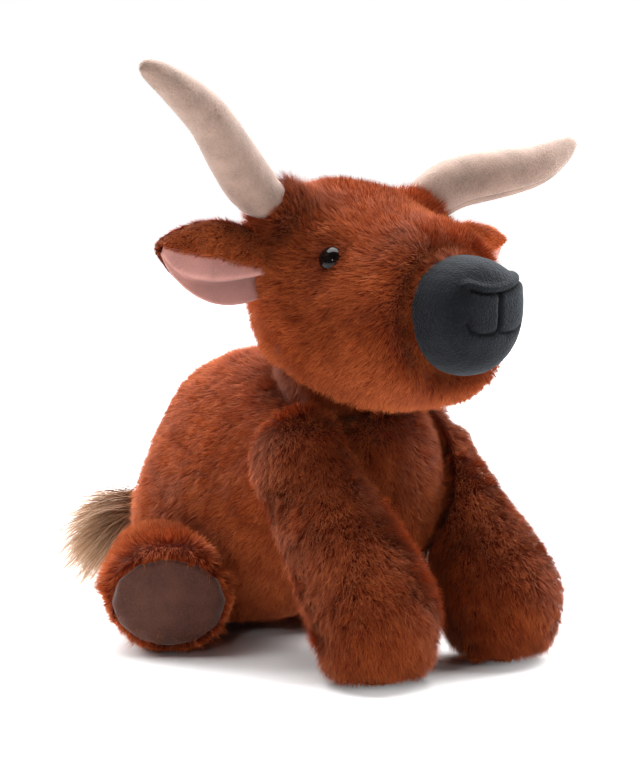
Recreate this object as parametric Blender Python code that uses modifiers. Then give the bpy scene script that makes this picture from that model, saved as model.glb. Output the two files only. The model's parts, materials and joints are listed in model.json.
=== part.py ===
"""A sitting plush highland bull, made as it is sewn: plush skins over fibre stuffing.

Metres, +Z up. The toy faces -Y and its own right side is -X. The origin is the middle of the
flat that the rump rests on. Forms are lofts of cage rings, rounded by subdivision.
"""

from math import cos, pi, radians

import bmesh
import bpy
from mathutils import Matrix, Vector
from mathutils.bvhtree import BVHTree

X_AXIS = Vector((1, 0, 0))
Y_AXIS = Vector((0, 1, 0))
Z_AXIS = Vector((0, 0, 1))
SIDES = {"right": -1, "left": 1}

# Fabric, clearances and the flats that the toy rests on
PLUSH_WALL = 0.0060
VELOUR_WALL = 0.0030
SUEDE_WALL = 0.0028
SEAM_GAP = 0.0003
PIECE_GAP = 0.00035
SWING_GAP = 0.0042
REST_DEPTH = 0.0005
CUT_OVERRUN = 0.012
ROOMY_SHARE = 1.4

# Points round a loft's cage, and facets round a joint's ball, a lump's filling and a shank
CAGE_SIDES = 6
LEG_SIDES = 12
TRUNK_SQUARE_SHARE = 0.30
HEAD_SQUARE_SHARE = 0.62
JOINT_SEGMENTS = 12
NECK_SEGMENTS = 16
HALF_STEP_SHARE = 0.5
FILLING_SEGMENTS = 8
SMALL_SEGMENTS = 8

# Trunk
TRUNK_LENGTH = 0.190
TRUNK_WIDTH = 0.096
TRUNK_HEIGHT = 0.141
TRUNK_REAR = 0.051

# Neck: a stuffed plush ball between the trunk's socket and the head's
NECK_RADIUS = 0.031
NECK_MOUTH_RADIUS = 0.018
NECK_AHEAD = 0.091
NECK_HEIGHT = 0.139
NECK_LEAN = 14.0
# Degrees at which the head is cut clear of the trunk; the legs and the ears have their own
HEAD_NOD = (-8, 0, 10)
HEAD_TURN = (-25, 25)

# Head, from its own middle
HEAD_LENGTH = 0.124
HEAD_WIDTH = 0.094
HEAD_HEIGHT = 0.089
HEAD_AHEAD = 0.098
HEAD_LIFT = 0.186
HEAD_TILT = 6.0

# Muzzle: velour cover and nose panel sewn to the front of the head
MUZZLE_AHEAD = 0.066
MUZZLE_DROP = 0.012
MUZZLE_LENGTH = 0.032
MUZZLE_WIDTH = 0.055
MUZZLE_HEIGHT = 0.057
NOSE_SEAM_RISE = 0.009
NOSE_SEAM_SLOPE = 24.0

# Eyes: a dome on a shank, locked by a washer behind the skin
EYE_RADIUS = 0.0060
EYE_DOME = 0.0048
EYE_AHEAD = 0.026
EYE_RISE = 0.0065
SHANK_RADIUS = 0.0020
SHANK_LENGTH = 0.0140
SHANK_FIT = 0.0003
WASHER_RADIUS = 0.0060
WASHER_THICKNESS = 0.0012

# Horns: each bent to its own line, standing on a ball at the corner of the poll
HORN_OUT = 0.041
HORN_BACK = 0.009
HORN_UP = 0.026
HORN_BALL = 0.0165
HORN_ROOT_RADIUS = 0.0145
HORN_REACH = {"right": 0.110, "left": 0.097}
HORN_RISE = {"right": 0.060, "left": 0.050}
HORN_SWEEP = 0.018

# Ears
EAR_OUT = 0.040
EAR_BEHIND = 0.014
EAR_UP = -0.002
EAR_BALL = 0.0100
EAR_LENGTH = 0.070
EAR_WIDTH = 0.034
EAR_CUP = 0.007
EAR_BACK_THICKNESS = 0.0045
EAR_LINING_THICKNESS = 0.0015
EAR_HEM = 0.0035
EAR_SWING = (-20, 0, 20)
EAR_RISE = {"right": 5.5, "left": 18.0}

# Front legs, from the shoulder ball to the middle of the foot
SHOULDER_OUT = 0.0375
SHOULDER_AHEAD = 0.103
SHOULDER_HEIGHT = 0.100
SHOULDER_RADIUS = 0.0195
FRONT_FOOT_OUT = {"right": 0.043, "left": 0.039}
FRONT_FOOT_AHEAD = 0.1585
FRONT_FOOT_RADIUS = 0.0330
FRONT_LEG_RADIUS = {"right": 0.0285, "left": 0.0260}
FRONT_SOLE_RADIUS = 0.0200
FRONT_SWING = (-8, 8, 24)

# Hind legs, from the hip ball outward along the floor
HIP_OUT = 0.026
HIP_BEHIND = 0.009
HIP_HEIGHT = 0.036
HIP_RADIUS = 0.0245
HIND_LEG_REACH = 0.079
HIND_LEG_WIDTH = 0.066
HIND_LEG_HEIGHT = 0.060
HIND_LEG_SPLAY = 42.0
HIND_SOLE_WIDTH = 0.056
HIND_SOLE_HEIGHT = 0.044
HIND_SOLE_DROP = 0.004
HIND_SWING = (-12, -2, 8)

# Tail: a sleeve on a small ball at the rump, with a tassel of hair in its end
TAIL_HEIGHT = 0.056
TAIL_BALL = 0.0095
TAIL_RADIUS = 0.0085
TAIL_REACH = 0.054
TAIL_SIDE = 0.030
TAIL_FALL = 0.034
TASSEL_WIDTH = 0.040
TASSEL_DEPTH = 0.012

# Pellet bag in the seat
BAG_LENGTH = 0.060
BAG_WIDTH = 0.042
BAG_DEPTH = 0.024
BAG_LIFT = 0.0095

# Place along the trunk from the rump, height of the middle, half width and half height,
# as shares of the trunk's length, height, width and height
TRUNK_SECTION_SHARES = (
    (0.005, 0.340, 0.200, 0.170),
    (0.090, 0.390, 0.390, 0.330),
    (0.290, 0.485, 0.495, 0.495),
    (0.520, 0.550, 0.500, 0.445),
    (0.730, 0.570, 0.465, 0.360),
    (0.910, 0.620, 0.370, 0.280),
    (1.000, 0.640, 0.180, 0.140),
)

# Place along the head from the back of the poll, height of the middle, half width and half
# height, as shares of the head's length, height, width and height
HEAD_SECTION_SHARES = (
    (0.000, 0.035, 0.180, 0.200),
    (0.080, -0.045, 0.425, 0.450),
    (0.300, -0.050, 0.540, 0.570),
    (0.560, -0.130, 0.515, 0.520),
    (0.780, -0.195, 0.455, 0.450),
    (1.000, -0.180, 0.365, 0.385),
)
POLL_SHARE = 0.38

# Place along the muzzle from its seam, half width and half height, as shares
MUZZLE_SECTION_SHARES = (
    (-0.30, 0.480, 0.480),
    (0.30, 0.515, 0.510),
    (0.76, 0.480, 0.470),
    (1.00, 0.290, 0.270),
)

# Outline of an eye's dome from its top to its rim, as shares of its radius and its height
EYE_DOME_SHARES = ((0.00, 1.00), (0.50, 0.87), (0.87, 0.50), (1.00, 0.00))

# Route of each horn from its root: out, forward and up, as shares of reach, sweep and rise,
# then the radius as a share of the root's
HORN_ROUTE_SHARES = {
    "right": (
        (0.00, 0.00, 0.00, 0.97),
        (0.19, 0.02, 0.12, 1.00),
        (0.38, 0.32, 0.42, 0.91),
        (0.56, 0.72, 0.67, 0.82),
        (0.78, 0.94, 0.87, 0.67),
        (0.97, 1.00, 0.985, 0.42),
        (1.00, 1.00, 1.00, 0.20),
    ),
    "left": (
        (0.00, 0.00, 0.00, 0.97),
        (0.13, 0.02, 0.32, 1.02),
        (0.34, 0.32, 0.50, 0.99),
        (0.54, 0.72, 0.57, 0.94),
        (0.77, 0.94, 0.70, 0.78),
        (0.96, 1.00, 0.94, 0.42),
        (0.99, 1.00, 1.00, 0.20),
    ),
}

# Half width of an ear along its length, as (place share, share of the ear's width)
EAR_OUTLINE_SHARES = (
    (0.00, 0.28),
    (0.28, 0.50),
    (0.62, 0.50),
    (0.88, 0.27),
    (1.00, 0.10),
)
EAR_COLUMN_SHARES = (-1.0, 0.0, 1.0)

# Place from the shoulder as a share of the way to the foot's middle, radius as a share of
# the leg's or, from the ankle on, of the foot's
FRONT_LEG_SHARES = (
    (-0.30, 0.62),
    (-0.06, 0.94),
    (0.40, 0.98),
)
FRONT_FOOT_SHARES = (
    (0.80, 0.95),
    (1.12, 1.03),
    (1.36, 0.52),
)

# Place along a hind leg from the hip, half width and half height, as shares
HIND_LEG_SHARES = (
    (-0.26, 0.34, 0.34),
    (0.00, 0.46, 0.48),
    (0.36, 0.50, 0.51),
    (0.80, 0.53, 0.53),
    (1.00, 0.48, 0.48),
)

# Route of the tail from its ball: back, aside and down, as shares of reach, side and fall,
# then half width and half depth of the sleeve or the tassel
TAIL_SLEEVE_SHARES = (
    (0.00, 0.00, 0.00, 0.92),
    (0.19, 0.05, 0.00, 1.00),
    (0.42, 0.18, 0.08, 0.94),
)
TASSEL_SHARES = (
    (0.33, 0.13, 0.05, 0.12, 0.32),
    (0.46, 0.22, 0.14, 0.18, 0.40),
    (0.64, 0.45, 0.42, 0.42, 0.50),
    (0.84, 0.76, 0.78, 0.50, 0.46),
    (1.00, 1.00, 1.00, 0.24, 0.24),
)

# Colours: red, green, blue and roughness
LOOKS = {
    "plush": ((0.36, 0.085, 0.022), 0.95),
    "stuffing": ((0.85, 0.84, 0.80), 1.0),
    "velour": ((0.030, 0.040, 0.050), 0.85),
    "horn": ((0.62, 0.50, 0.42), 0.9),
    "pink": ((0.66, 0.40, 0.36), 0.9),
    "suede": ((0.13, 0.075, 0.055), 0.9),
    "gloss": ((0.008, 0.008, 0.009), 0.08),
    "washer": ((0.8, 0.8, 0.78), 0.5),
    "hair": ((0.30, 0.14, 0.085), 0.8),
    "bag": ((0.55, 0.52, 0.46), 0.8),
}


def collection(name):
    """A collection linked to the scene."""
    made = bpy.data.collections.new(name)
    bpy.context.scene.collection.children.link(made)
    return made


def new_object(name, mesh, group, parent=None):
    """An object of this mesh in a collection, held by an empty where one is given."""
    made = bpy.data.objects.new(name, mesh)
    group.objects.link(made)
    made.parent = parent
    return made


def dressed(piece, look):
    """The piece with its own Principled material and smooth shading."""
    colour, roughness = LOOKS[look]
    material = bpy.data.materials.new(piece.name)
    material.use_nodes = True
    shader = material.node_tree.nodes["Principled BSDF"]
    shader.inputs["Base Color"].default_value = (*colour, 1)
    shader.inputs["Roughness"].default_value = roughness
    shader.inputs["Metallic"].default_value = 0
    piece.data.materials.append(material)
    piece.data.shade_smooth()
    return piece


def loft(name, rings, sides, levels, group, parent=None, square=0.0):
    """A closed soft form: rings of cage points about a centre line, rounded by subdivision.

    Subdivision draws a ring in, so each ring is swelled by the amount that it loses. A square
    share pushes the slanting spokes up and down, which squares the section's shoulders.
    Coarse forms split their facets the same way, so a filling stays inside its hollow.
    """
    step = cos(2 * pi / sides)
    swell = 4 / (3 + step) if levels == 1 else 3 / (2 + step)
    turn = Matrix.Rotation(2 * pi / sides, 3, Z_AXIS)
    cage = bmesh.new()
    loops = []
    for centre, across, up, half_width, half_height in rings:
        spoke = Matrix.Rotation(pi / sides, 3, Z_AXIS) @ X_AXIS
        loop = []
        for _ in range(sides):
            wide = across * (spoke.x * half_width * swell)
            fuller = 1 + square * (1 - abs(spoke.y))
            tall = up * (spoke.y * fuller * half_height * swell)
            loop.append(cage.verts.new(centre + wide + tall))
            spoke = turn @ spoke
        loops.append(loop)
    for loop, following in zip(loops, loops[1:]):
        for k in range(sides):
            after = (k + 1) % sides
            cage.faces.new((loop[k], loop[after], following[after], following[k]))
    cage.faces.new(list(reversed(loops[0])))
    cage.faces.new(loops[-1])
    bmesh.ops.recalc_face_normals(cage, faces=cage.faces)
    mesh = bpy.data.meshes.new(name)
    cage.to_mesh(mesh)
    cage.free()
    form = new_object(name, mesh, group, parent)
    subdivision = form.modifiers.new("Rounding", "SUBSURF")
    subdivision.levels = levels
    subdivision.render_levels = levels
    if levels == 1:
        facets = form.modifiers.new("Facets", "TRIANGULATE")
        facets.quad_method = "FIXED"
    return form


def inset_rings(rings, inset):
    """The rings drawn in by an inset, with both ends of the form drawn in too.

    A ring at a narrow tip that has no room for the inset is left out.
    """
    roomy = [ring for ring in rings if min(ring[3], ring[4]) > ROOMY_SHARE * inset]
    drawn = [[c, a, u, w - inset, h - inset] for c, a, u, w, h in roomy]
    for end, following in ((0, 1), (-1, -2)):
        inward = (drawn[following][0] - drawn[end][0]).normalized()
        drawn[end][0] = drawn[end][0] + inward * inset
    return drawn


def shifted(rings, move):
    """The rings moved together."""
    return [(c + move, a, u, w, h) for c, a, u, w, h in rings]


def route_rings(points, half_widths, half_heights, side_hint):
    """Rings square to a route of points, their width along the side that is hinted."""
    rings = []
    for k, point in enumerate(points):
        ahead = points[min(k + 1, len(points) - 1)] - points[max(k - 1, 0)]
        ahead.normalize()
        across = (side_hint - ahead * side_hint.dot(ahead)).normalized()
        rings.append((point, across, across.cross(ahead), half_widths[k], half_heights[k]))
    return rings


def ball(name, centre, radius, group, parent=None, segments=JOINT_SEGMENTS, pole=Z_AXIS, step=0):
    """A sphere whose poles lie on its joint's axis, turned about them by a share of a facet."""
    bm = bmesh.new()
    bmesh.ops.create_uvsphere(bm, u_segments=segments, v_segments=segments // 2, radius=radius)
    mesh = bpy.data.meshes.new(name)
    bm.to_mesh(mesh)
    bm.free()
    mesh.transform(Matrix.Rotation(2 * pi * step / segments, 4, "Z"))
    turn = pole.to_track_quat("Z", "Y").to_matrix().to_4x4()
    mesh.transform(Matrix.Translation(centre) @ turn)
    return new_object(name, mesh, group, parent)


def socket(name, centre, radius, pole, parent=None, segments=JOINT_SEGMENTS, axes=1):
    """The cutter for a ball's seat: its flats face the ball's corners and clear them.

    A ball that turns about its poles needs room in one direction, and about two axes in both.
    """
    roomy = (radius + SEAM_GAP) / cos(pi / segments) ** axes
    return as_cutter(ball(name, centre, roomy, cutters, parent, segments, pole, HALF_STEP_SHARE))


def cylinder(name, centre, along, radius, length, group, parent=None, squash=1.0):
    """A cylinder about an axis, the cutter for a hole or a pad's outline."""
    bm = bmesh.new()
    segments = SMALL_SEGMENTS if radius < EYE_RADIUS else JOINT_SEGMENTS
    bmesh.ops.create_cone(
        bm, cap_ends=True, segments=segments, radius1=radius, radius2=radius, depth=length
    )
    mesh = bpy.data.meshes.new(name)
    bm.to_mesh(mesh)
    bm.free()
    mesh.transform(Matrix.Diagonal((1, squash, 1, 1)))
    turn = along.to_track_quat("Z", "Y").to_matrix().to_4x4()
    mesh.transform(Matrix.Translation(centre) @ turn)
    return new_object(name, mesh, group, parent)


def slab(name, centre, size, tilt, group, parent=None):
    """A box, tilted about X, the cutter for a flat or a seam."""
    bm = bmesh.new()
    bmesh.ops.create_cube(bm, size=1)
    mesh = bpy.data.meshes.new(name)
    bm.to_mesh(mesh)
    bm.free()
    mesh.transform(Matrix.Diagonal((*size, 1)))
    mesh.transform(Matrix.Translation(centre) @ Matrix.Rotation(radians(tilt), 4, "X"))
    return new_object(name, mesh, group, parent)


def combine(piece, operation, *others, solver="EXACT"):
    """Boolean modifiers that join others to a piece, or cut or keep it by them."""
    for other in others:
        step = piece.modifiers.new(other.name, "BOOLEAN")
        step.operation = operation
        step.object = other
        step.solver = solver
    return piece


def cut_clear(piece, cuts):
    """The piece cut by turned copies of its neighbour.

    EXACT can lose a piece where such copies all but touch each other, so this takes MANIFOLD.
    """
    return combine(piece, "DIFFERENCE", *cuts, solver="MANIFOLD")


def as_cutter(form):
    """The form as a hidden guide that the build leaves out."""
    form.hide_render = True
    form.display_type = "WIRE"
    return form


def as_piece(form):
    """The guide turned into a piece of the toy."""
    form.hide_render = False
    form.display_type = "TEXTURED"
    cutters.objects.unlink(form)
    toy.objects.link(form)
    return form


def evaluated_mesh(form):
    """The form's mesh with its modifiers, in its own frame."""
    bpy.context.view_layer.update()
    seen = form.evaluated_get(bpy.context.evaluated_depsgraph_get())
    return bpy.data.meshes.new_from_object(seen)


def lowest(form):
    """The height of the form's lowest point."""
    mesh = evaluated_mesh(form)
    depth = min(vertex.co.z for vertex in mesh.vertices)
    bpy.data.meshes.remove(mesh)
    return depth


def settled(rings, sides, levels, square=0.0):
    """The rings moved up or down until their form sinks into the floor by the rest depth."""
    trial = loft("trial", rings, sides, levels, cutters, square=square)
    drop = -REST_DEPTH - lowest(trial)
    bpy.data.objects.remove(trial)
    return shifted(rings, Z_AXIS * drop)


def surface_point(form, start, direction):
    """Where a ray from inside leaves the form, and the outward normal there."""
    mesh = evaluated_mesh(form)
    bm = bmesh.new()
    bm.from_mesh(mesh)
    tree = BVHTree.FromBMesh(bm)
    place, normal, _, _ = tree.ray_cast(start, direction.normalized())
    bm.free()
    bpy.data.meshes.remove(mesh)
    return place, normal


def turned_cutters(name, form, pivot, axis, angles, parent=None):
    """Copies of a form turned about a joint, which cut a piece clear of it as it swings."""
    mesh = evaluated_mesh(form)
    made = []
    for angle in angles:
        cutter = as_cutter(new_object(f"{name}_{angle}", mesh, cutters, parent))
        turn = Matrix.Rotation(radians(angle), 4, axis)
        cutter.matrix_local = Matrix.Translation(pivot) @ turn @ Matrix.Translation(-pivot)
        made.append(cutter)
    return made


def trunk_rings():
    """Rings along the trunk, from the rump to the chest."""
    rings = []
    for place, middle, wide, tall in TRUNK_SECTION_SHARES:
        centre = Vector((0, TRUNK_REAR - place * TRUNK_LENGTH, middle * TRUNK_HEIGHT))
        rings.append((centre, X_AXIS, Z_AXIS, wide * TRUNK_WIDTH, tall * TRUNK_HEIGHT))
    return settled(rings, CAGE_SIDES, 2, TRUNK_SQUARE_SHARE)


def head_rings():
    """Rings along the head, from the poll to the snout, in the head's own frame."""
    rings = []
    for place, middle, wide, tall in HEAD_SECTION_SHARES:
        centre = Vector((0, (POLL_SHARE - place) * HEAD_LENGTH, middle * HEAD_HEIGHT))
        rings.append((centre, X_AXIS, Z_AXIS, wide * HEAD_WIDTH, tall * HEAD_HEIGHT))
    return rings


def muzzle_rings():
    """Rings along the muzzle, from inside its seam to the front."""
    rings = []
    for place, wide, tall in MUZZLE_SECTION_SHARES:
        centre = Vector((0, -MUZZLE_AHEAD - place * MUZZLE_LENGTH, -MUZZLE_DROP))
        rings.append((centre, X_AXIS, Z_AXIS, wide * MUZZLE_WIDTH, tall * MUZZLE_HEIGHT))
    return rings


def pivot_empty(name, place, tilt=0.0, parent=None):
    """An empty at a joint, which carries the pieces that move with it."""
    empty = bpy.data.objects.new(name, None)
    toy.objects.link(empty)
    empty.parent = parent
    empty.location = place
    empty.rotation_euler = (0, radians(tilt), 0)
    return empty


def hung(pieces, empty):
    """The pieces hung from an empty without moving them: their meshes take its offset."""
    for piece in pieces:
        piece.data.transform(Matrix.Translation(-empty.location))
        piece.location = (0, 0, 0)
        piece.parent = empty


def seats():
    """The balls and sockets that the trunk and its neighbours share."""
    found = {"neck": (Vector((0, -NECK_AHEAD, NECK_HEIGHT)), NECK_RADIUS, neck_axis())}
    for side, sign in SIDES.items():
        shoulder = Vector((sign * SHOULDER_OUT, -SHOULDER_AHEAD, SHOULDER_HEIGHT))
        hip = Vector((sign * HIP_OUT, HIP_BEHIND, HIP_HEIGHT))
        found[f"shoulder_{side}"] = (shoulder, SHOULDER_RADIUS, X_AXIS)
        found[f"hip_{side}"] = (hip, HIP_RADIUS, Z_AXIS)
    return found


def make_trunk():
    """Trunk skin, stuffing and pellet bag, with a ball at each shoulder, hip and the tail."""
    rings = trunk_rings()
    outline = as_cutter(
        loft("trunk_outline", rings, CAGE_SIDES, 2, cutters, square=TRUNK_SQUARE_SHARE)
    )
    start = Vector((0, 0, TAIL_HEIGHT))
    tail_seat, _ = surface_point(outline, start, Vector((0, 1, 0)))
    lumps = dict(seats())
    lumps.pop("neck")
    lumps["tail"] = (tail_seat, TAIL_BALL, Z_AXIS)

    def stuffed(name, inset, levels):
        """The trunk's form and its balls, drawn in by an inset."""
        drawn = inset_rings(rings, inset)
        form = loft(name, drawn, CAGE_SIDES, levels, cutters, square=TRUNK_SQUARE_SHARE)
        for joint, (centre, radius, pole) in lumps.items():
            if radius > 2 * inset:
                facets = FILLING_SEGMENTS if inset else JOINT_SEGMENTS
                lump = ball(
                    f"{name}_{joint}", centre, radius - inset, cutters, None, facets, pole
                )
                combine(form, "UNION", as_cutter(lump))
        return as_cutter(form)

    neck_socket = socket("trunk_neck_socket", *seats()["neck"], segments=NECK_SEGMENTS)
    floor = slab(
        "floor",
        Vector((0, 0, -CUT_OVERRUN / 2)),
        (2 * TRUNK_LENGTH, 3 * TRUNK_LENGTH, CUT_OVERRUN),
        0,
        cutters,
    )
    as_cutter(floor)

    skin = as_piece(stuffed("body_skin", 0, 2))
    combine(skin, "DIFFERENCE", stuffed("trunk_hollow", PLUSH_WALL, 1), neck_socket, floor)

    bag_rise = PLUSH_WALL + BAG_LIFT + BAG_DEPTH / 2
    bag_middle = Vector((0, 0, bag_rise))
    halves = (BAG_WIDTH / 2, BAG_LENGTH / 2, BAG_DEPTH / 2)
    bag = ball("pellet_bag", Vector(), 1, toy)
    bag.data.transform(Matrix.Diagonal((*halves, 1)))
    bag.data.transform(Matrix.Translation(bag_middle))
    pocket = as_cutter(ball("bag_pocket", Vector(), 1, cutters))
    roomy = [half + 2 * PIECE_GAP for half in halves]
    pocket.data.transform(Matrix.Diagonal((*roomy, 1)))
    pocket.data.transform(Matrix.Translation(bag_middle))
    mouth = cylinder(
        "bag_mouth",
        Vector((0, 0, bag_rise / 2)),
        Z_AXIS,
        BAG_WIDTH / 2 - PLUSH_WALL,
        bag_rise,
        cutters,
    )
    as_cutter(mouth)

    stuffing = as_piece(stuffed("body_stuffing", PLUSH_WALL + PIECE_GAP, 1))
    combine(stuffing, "DIFFERENCE", neck_socket, mouth, pocket)

    dressed(skin, "plush")
    dressed(stuffing, "stuffing")
    dressed(bag, "bag")
    grown = inset_rings(rings, -SWING_GAP)
    clearance = as_cutter(
        loft("trunk_clearance", grown, CAGE_SIDES, 1, cutters, square=TRUNK_SQUARE_SHARE)
    )
    return clearance, floor, tail_seat


def neck_axis():
    """The leaning line that the head turns about."""
    return Matrix.Rotation(radians(NECK_LEAN), 3, "X") @ Z_AXIS


def make_neck():
    """The neck's stuffed plush ball, open where the head's and the trunk's stuffing meet it."""
    centre, radius, pole = seats()["neck"]
    empty = pivot_empty("neck_pivot", centre)
    skin = ball("neck_skin", centre, radius, toy, segments=NECK_SEGMENTS, pole=pole)
    hollow = ball("neck_hollow", centre, radius - PLUSH_WALL, cutters)
    mouth = cylinder(
        "neck_mouth", centre, pole, NECK_MOUTH_RADIUS, 2 * radius + CUT_OVERRUN, cutters
    )
    combine(skin, "DIFFERENCE", as_cutter(hollow), as_cutter(mouth))
    plug = ball("neck_stuffing", centre, radius - PLUSH_WALL - PIECE_GAP, toy)
    hung([skin, plug], empty)
    dressed(skin, "plush")
    dressed(plug, "stuffing")


def make_head(trunk):
    """Head skin, stuffing, muzzle, eyes and washers, in a frame that tilts to one side."""
    frame = pivot_empty("head_frame", Vector((0, -HEAD_AHEAD, HEAD_LIFT)), HEAD_TILT)
    bpy.context.view_layer.update()
    rings = head_rings()
    outline = as_cutter(
        loft("head_outline", rings, CAGE_SIDES, 2, cutters, frame, HEAD_SQUARE_SHARE)
    )
    neck_centre, neck_radius, neck_pole = seats()["neck"]
    trunk_cuts = turned_cutters("trunk_by_nod", trunk, neck_centre, X_AXIS, HEAD_NOD)
    trunk_cuts += turned_cutters("trunk_by_turn", trunk, neck_centre, neck_pole, HEAD_TURN)
    horn_seats = {
        side: Vector((sign * HORN_OUT, HORN_BACK, HORN_UP)) for side, sign in SIDES.items()
    }
    ear_seats = {
        side: Vector((sign * EAR_OUT, EAR_BEHIND, EAR_UP)) for side, sign in SIDES.items()
    }

    def filled(name, inset, levels):
        """The head's form with the balls under its horns and ears, drawn in by an inset."""
        drawn = inset_rings(rings, inset)
        form = loft(name, drawn, CAGE_SIDES, levels, cutters, frame, HEAD_SQUARE_SHARE)
        facets = FILLING_SEGMENTS if inset else JOINT_SEGMENTS
        for joint, places, radius, pole in (
            ("horn", horn_seats, HORN_BALL, Y_AXIS),
            ("ear", ear_seats, EAR_BALL, Z_AXIS),
        ):
            for side, centre in places.items():
                if radius > 2 * inset:
                    lump = ball(
                        f"{name}_{joint}_{side}", centre, radius - inset, cutters, frame,
                        facets, pole,
                    )
                    combine(form, "UNION", as_cutter(lump))
        return as_cutter(form)

    neck_socket = socket(
        "head_neck_socket", neck_centre, neck_radius, neck_pole, None, NECK_SEGMENTS, 2
    )
    seam = Vector((0, -MUZZLE_AHEAD - HEAD_LENGTH / 2, -MUZZLE_DROP))
    before_seam = as_cutter(
        slab("before_muzzle_seam", seam, (HEAD_LENGTH,) * 3, 0, cutters, frame)
    )
    behind = seam + Vector((0, HEAD_LENGTH - SEAM_GAP, 0))
    behind_seam = as_cutter(
        slab("behind_muzzle_seam", behind, (HEAD_LENGTH,) * 3, 0, cutters, frame)
    )

    skin = filled("head_skin", 0, 2)
    hollow = filled("head_hollow", PLUSH_WALL, 1)
    snout_hole = muzzle_form("snout_hole", VELOUR_WALL, 1, cutters, frame)
    combine(skin, "DIFFERENCE", before_seam, hollow, as_cutter(snout_hole), neck_socket)
    cut_clear(skin, trunk_cuts)

    cover = muzzle_form("muzzle_cover", 0, 2, toy, frame)
    panel = muzzle_form("nose_panel", 0, 2, toy, frame)
    muzzle_hollow = as_cutter(muzzle_form("muzzle_hollow", VELOUR_WALL, 1, cutters, frame))
    seam_height = -MUZZLE_DROP + NOSE_SEAM_RISE
    seam_place = Vector((0, -MUZZLE_AHEAD - MUZZLE_LENGTH, seam_height))
    tilt = Matrix.Rotation(radians(NOSE_SEAM_SLOPE), 3, "X")
    half = Vector((0, 0, HEAD_LENGTH / 2))
    above = slab(
        "above_nose_seam", seam_place + tilt @ half, (HEAD_LENGTH,) * 3, NOSE_SEAM_SLOPE,
        cutters, frame,
    )
    low = seam_place - tilt @ (half - Vector((0, 0, SEAM_GAP)))
    below = slab(
        "below_nose_seam", low, (HEAD_LENGTH,) * 3, NOSE_SEAM_SLOPE, cutters, frame
    )
    combine(cover, "DIFFERENCE", behind_seam, muzzle_hollow, as_cutter(above))
    combine(panel, "DIFFERENCE", behind_seam, muzzle_hollow, as_cutter(below))

    stuffing = filled("head_stuffing", PLUSH_WALL + PIECE_GAP, 1)
    snout = muzzle_form("snout_filling", VELOUR_WALL + PIECE_GAP, 1, cutters, frame)
    combine(stuffing, "DIFFERENCE", before_seam)
    combine(stuffing, "UNION", as_cutter(snout))
    combine(stuffing, "DIFFERENCE", neck_socket)
    cut_clear(stuffing, trunk_cuts)

    for side, sign in SIDES.items():
        make_eye(side, sign, outline, skin, stuffing, frame)
    dressed(as_piece(skin), "plush")
    dressed(as_piece(stuffing), "stuffing")
    dressed(cover, "velour")
    dressed(panel, "velour")
    grown = inset_rings(rings, -SWING_GAP)
    clearance = as_cutter(
        loft("head_clearance", grown, CAGE_SIDES, 1, cutters, frame, HEAD_SQUARE_SHARE)
    )
    return frame, clearance, horn_seats, ear_seats


def muzzle_form(name, inset, levels, group, parent):
    """The muzzle's form, drawn in by an inset."""
    return loft(name, inset_rings(muzzle_rings(), inset), CAGE_SIDES, levels, group, parent)


def make_eye(side, sign, outline, skin, stuffing, frame):
    """A dome and its shank through the skin, with the washer that locks it."""
    start = Vector((0, -EYE_AHEAD, EYE_RISE))
    seat, normal = surface_point(outline, start, Vector((sign, 0, 0)))
    profile = [(out * EYE_RADIUS, up * EYE_DOME) for out, up in EYE_DOME_SHARES]
    profile += [
        (SHANK_RADIUS, 0),
        (SHANK_RADIUS, -SHANK_LENGTH),
        (0, -SHANK_LENGTH),
    ]
    mesh = bpy.data.meshes.new(f"eye_{side}")
    bm = bmesh.new()
    points = [bm.verts.new((out, 0, up)) for out, up in profile]
    for one, other in zip(points, points[1:]):
        bm.edges.new((one, other))
    bm.to_mesh(mesh)
    bm.free()
    eye = new_object(f"eye_{side}", mesh, toy, frame)
    turning = eye.modifiers.new("Turning", "SCREW")
    turning.steps = JOINT_SEGMENTS
    turning.render_steps = JOINT_SEGMENTS
    turning.use_merge_vertices = True
    turning.merge_threshold = 0.0001
    eye.location = seat + normal * SEAM_GAP
    eye.rotation_euler = normal.to_track_quat("Z", "Y").to_euler()
    dressed(eye, "gloss")

    hole = cylinder(
        f"shank_hole_{side}", seat, normal, SHANK_RADIUS + SHANK_FIT, 3 * SHANK_LENGTH,
        cutters, frame,
    )
    combine(skin, "DIFFERENCE", as_cutter(hole))
    washer_place = seat - normal * (SHANK_LENGTH - WASHER_THICKNESS)
    washer = cylinder(
        f"eye_washer_{side}", washer_place, normal, WASHER_RADIUS, WASHER_THICKNESS, toy, frame
    )
    bore = cylinder(
        f"washer_bore_{side}", seat, normal, SHANK_RADIUS + SHANK_FIT, 3 * SHANK_LENGTH,
        cutters, frame,
    )
    combine(washer, "DIFFERENCE", as_cutter(bore))
    dressed(washer, "washer")
    room = cylinder(
        f"washer_room_{side}", seat, normal, WASHER_RADIUS + PIECE_GAP,
        2 * (SHANK_LENGTH + PIECE_GAP), cutters, frame,
    )
    combine(stuffing, "DIFFERENCE", as_cutter(room))


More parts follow.
